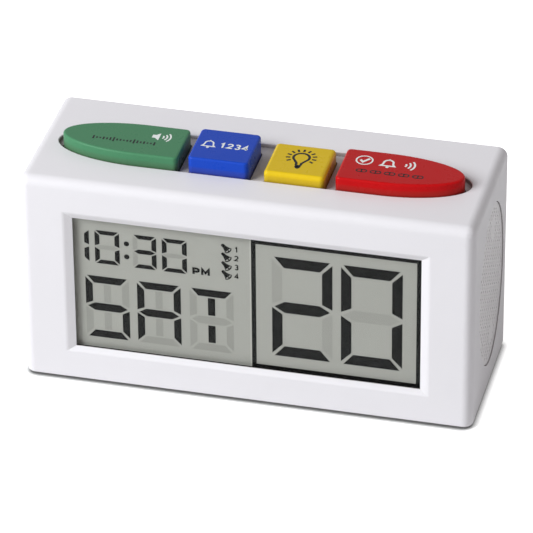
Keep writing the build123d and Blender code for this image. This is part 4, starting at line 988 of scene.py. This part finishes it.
def seen_directly(tree):
    """1 for rays by which the camera, a mirror or a clear piece sees the background."""
    paths = put(tree, "ShaderNodeLightPath").outputs
    straight = maths(tree, "MAXIMUM", paths["Is Camera Ray"], paths["Is Transmission Ray"], True)
    return maths(tree, "MAXIMUM", straight, paths["Is Glossy Ray"], True)


def studio_floor(colour):
    """Pale floor that keeps the object's shadow, has a painted contact shadow round the clock, and shows
    white elsewhere to the camera.
    """
    mesh = bpy.data.meshes.new("studio_floor")
    corners = [(x * FLOOR_REACH, y * FLOOR_REACH, 0) for x, y in ((-1, -1), (1, -1), (1, 1), (-1, 1))]
    mesh.from_pydata(corners, [], [(0, 1, 2, 3)])
    made, tree, out = bare_material("Studio floor")
    plain = put(tree, "ShaderNodeBsdfDiffuse", {"Color": (*colour, 1.0)}).outputs[0]
    # Painted contact shadow: an occlusion mask darkens the floor's colour and glow near the clock.
    nearby = put(tree, "ShaderNodeAmbientOcclusion", {"Distance": CONTACT_REACH}, samples=12).outputs["AO"]
    clear = spread(tree, nearby, CONTACT_DARK, 1.0, *CONTACT_SHADES)
    tone = blend_colours(tree, clear, (0, 0, 0), colour)
    near = put(tree, "ShaderNodeBsdfDiffuse", {"Color": tone}).outputs[0]
    mirrored = put(tree, "ShaderNodeLightPath").outputs["Is Glossy Ray"]
    level = maths(tree, "MULTIPLY", clear, spread(tree, mirrored, FLOOR_GLOW, FLOOR_MIRRORED))
    glow = put(tree, "ShaderNodeEmission", {"Color": (1, 1, 1, 1), "Strength": level}).outputs[0]
    lit = put(tree, "ShaderNodeAddShader", {0: near, 1: glow}).outputs[0]
    mix = put(tree, "ShaderNodeMixShader", {0: seen_directly(tree), 1: plain, 2: lit})
    tree.links.new(mix.outputs[0], out.inputs[0])
    mesh.materials.append(made)
    floor = bpy.data.objects.new("studio_floor", mesh)
    bpy.context.scene.collection.objects.link(floor)
    return floor


def surroundings(strength):
    """Plain white surroundings: soft light on the object, and full white where seen or mirrored."""
    world = bpy.data.worlds.new("Studio surroundings")
    bpy.context.scene.world = world
    world.use_nodes = True
    tree = world.node_tree
    tree.nodes.clear()
    out = tree.nodes.new("ShaderNodeOutputWorld")
    seen = seen_directly(tree)
    level = spread(tree, seen, strength, 1.0)
    colour = blend_colours(tree, seen, SKY_TINT, (1, 1, 1))
    glow = put(tree, "ShaderNodeBackground", {"Color": colour, "Strength": level})
    tree.links.new(glow.outputs[0], out.inputs[0])


LOOKS = {
    "clock_case": ClockCaseLook, "clock_keys": ClockKeyLook, "clock_display": ClockDisplayLook,
    "clock_stage": ClockStageLook,
}
STEPS = (
    ClockFinishCase, ClockFinishKeys, ClockFillDisplay, ClockFinishRear, ClockFinishSpeaker,
    ClockFinishElectronics, ClockFinishPower, ClockSetStage,
)


class ClockPanel(bpy.types.Panel):
    """Lists the clock's steps and their settings."""

    bl_idname = "VIEW3D_PT_clock"
    bl_label = "Talking alarm clock"
    bl_space_type = "VIEW_3D"
    bl_region_type = "UI"
    bl_category = "Clock"

    def draw(self, context):
        for step in STEPS:
            self.layout.operator(step.bl_idname)
        for name, look in LOOKS.items():
            box = self.layout.box()
            for setting in look.__annotations__:
                box.prop(getattr(context.scene, name), setting)


def register():
    """Registers the settings, the steps and the panel."""
    for item in (*LOOKS.values(), *STEPS, ClockPanel):
        bpy.utils.register_class(item)
    for name, look in LOOKS.items():
        setattr(bpy.types.Scene, name, bpy.props.PointerProperty(type=look))


def unregister():
    """Takes them away again."""
    for name in LOOKS:
        delattr(bpy.types.Scene, name)
    for item in reversed((*LOOKS.values(), *STEPS, ClockPanel)):
        bpy.utils.unregister_class(item)


def main():
    """Dresses the clock."""
    register()
    bpy.ops.clock.finish_case()
    bpy.ops.clock.finish_keys()
    bpy.ops.clock.fill_display()
    bpy.ops.clock.finish_rear()
    bpy.ops.clock.finish_speaker()
    bpy.ops.clock.finish_electronics()
    bpy.ops.clock.finish_power()
    bpy.ops.clock.set_stage()


if __name__ == "__main__":
    main()
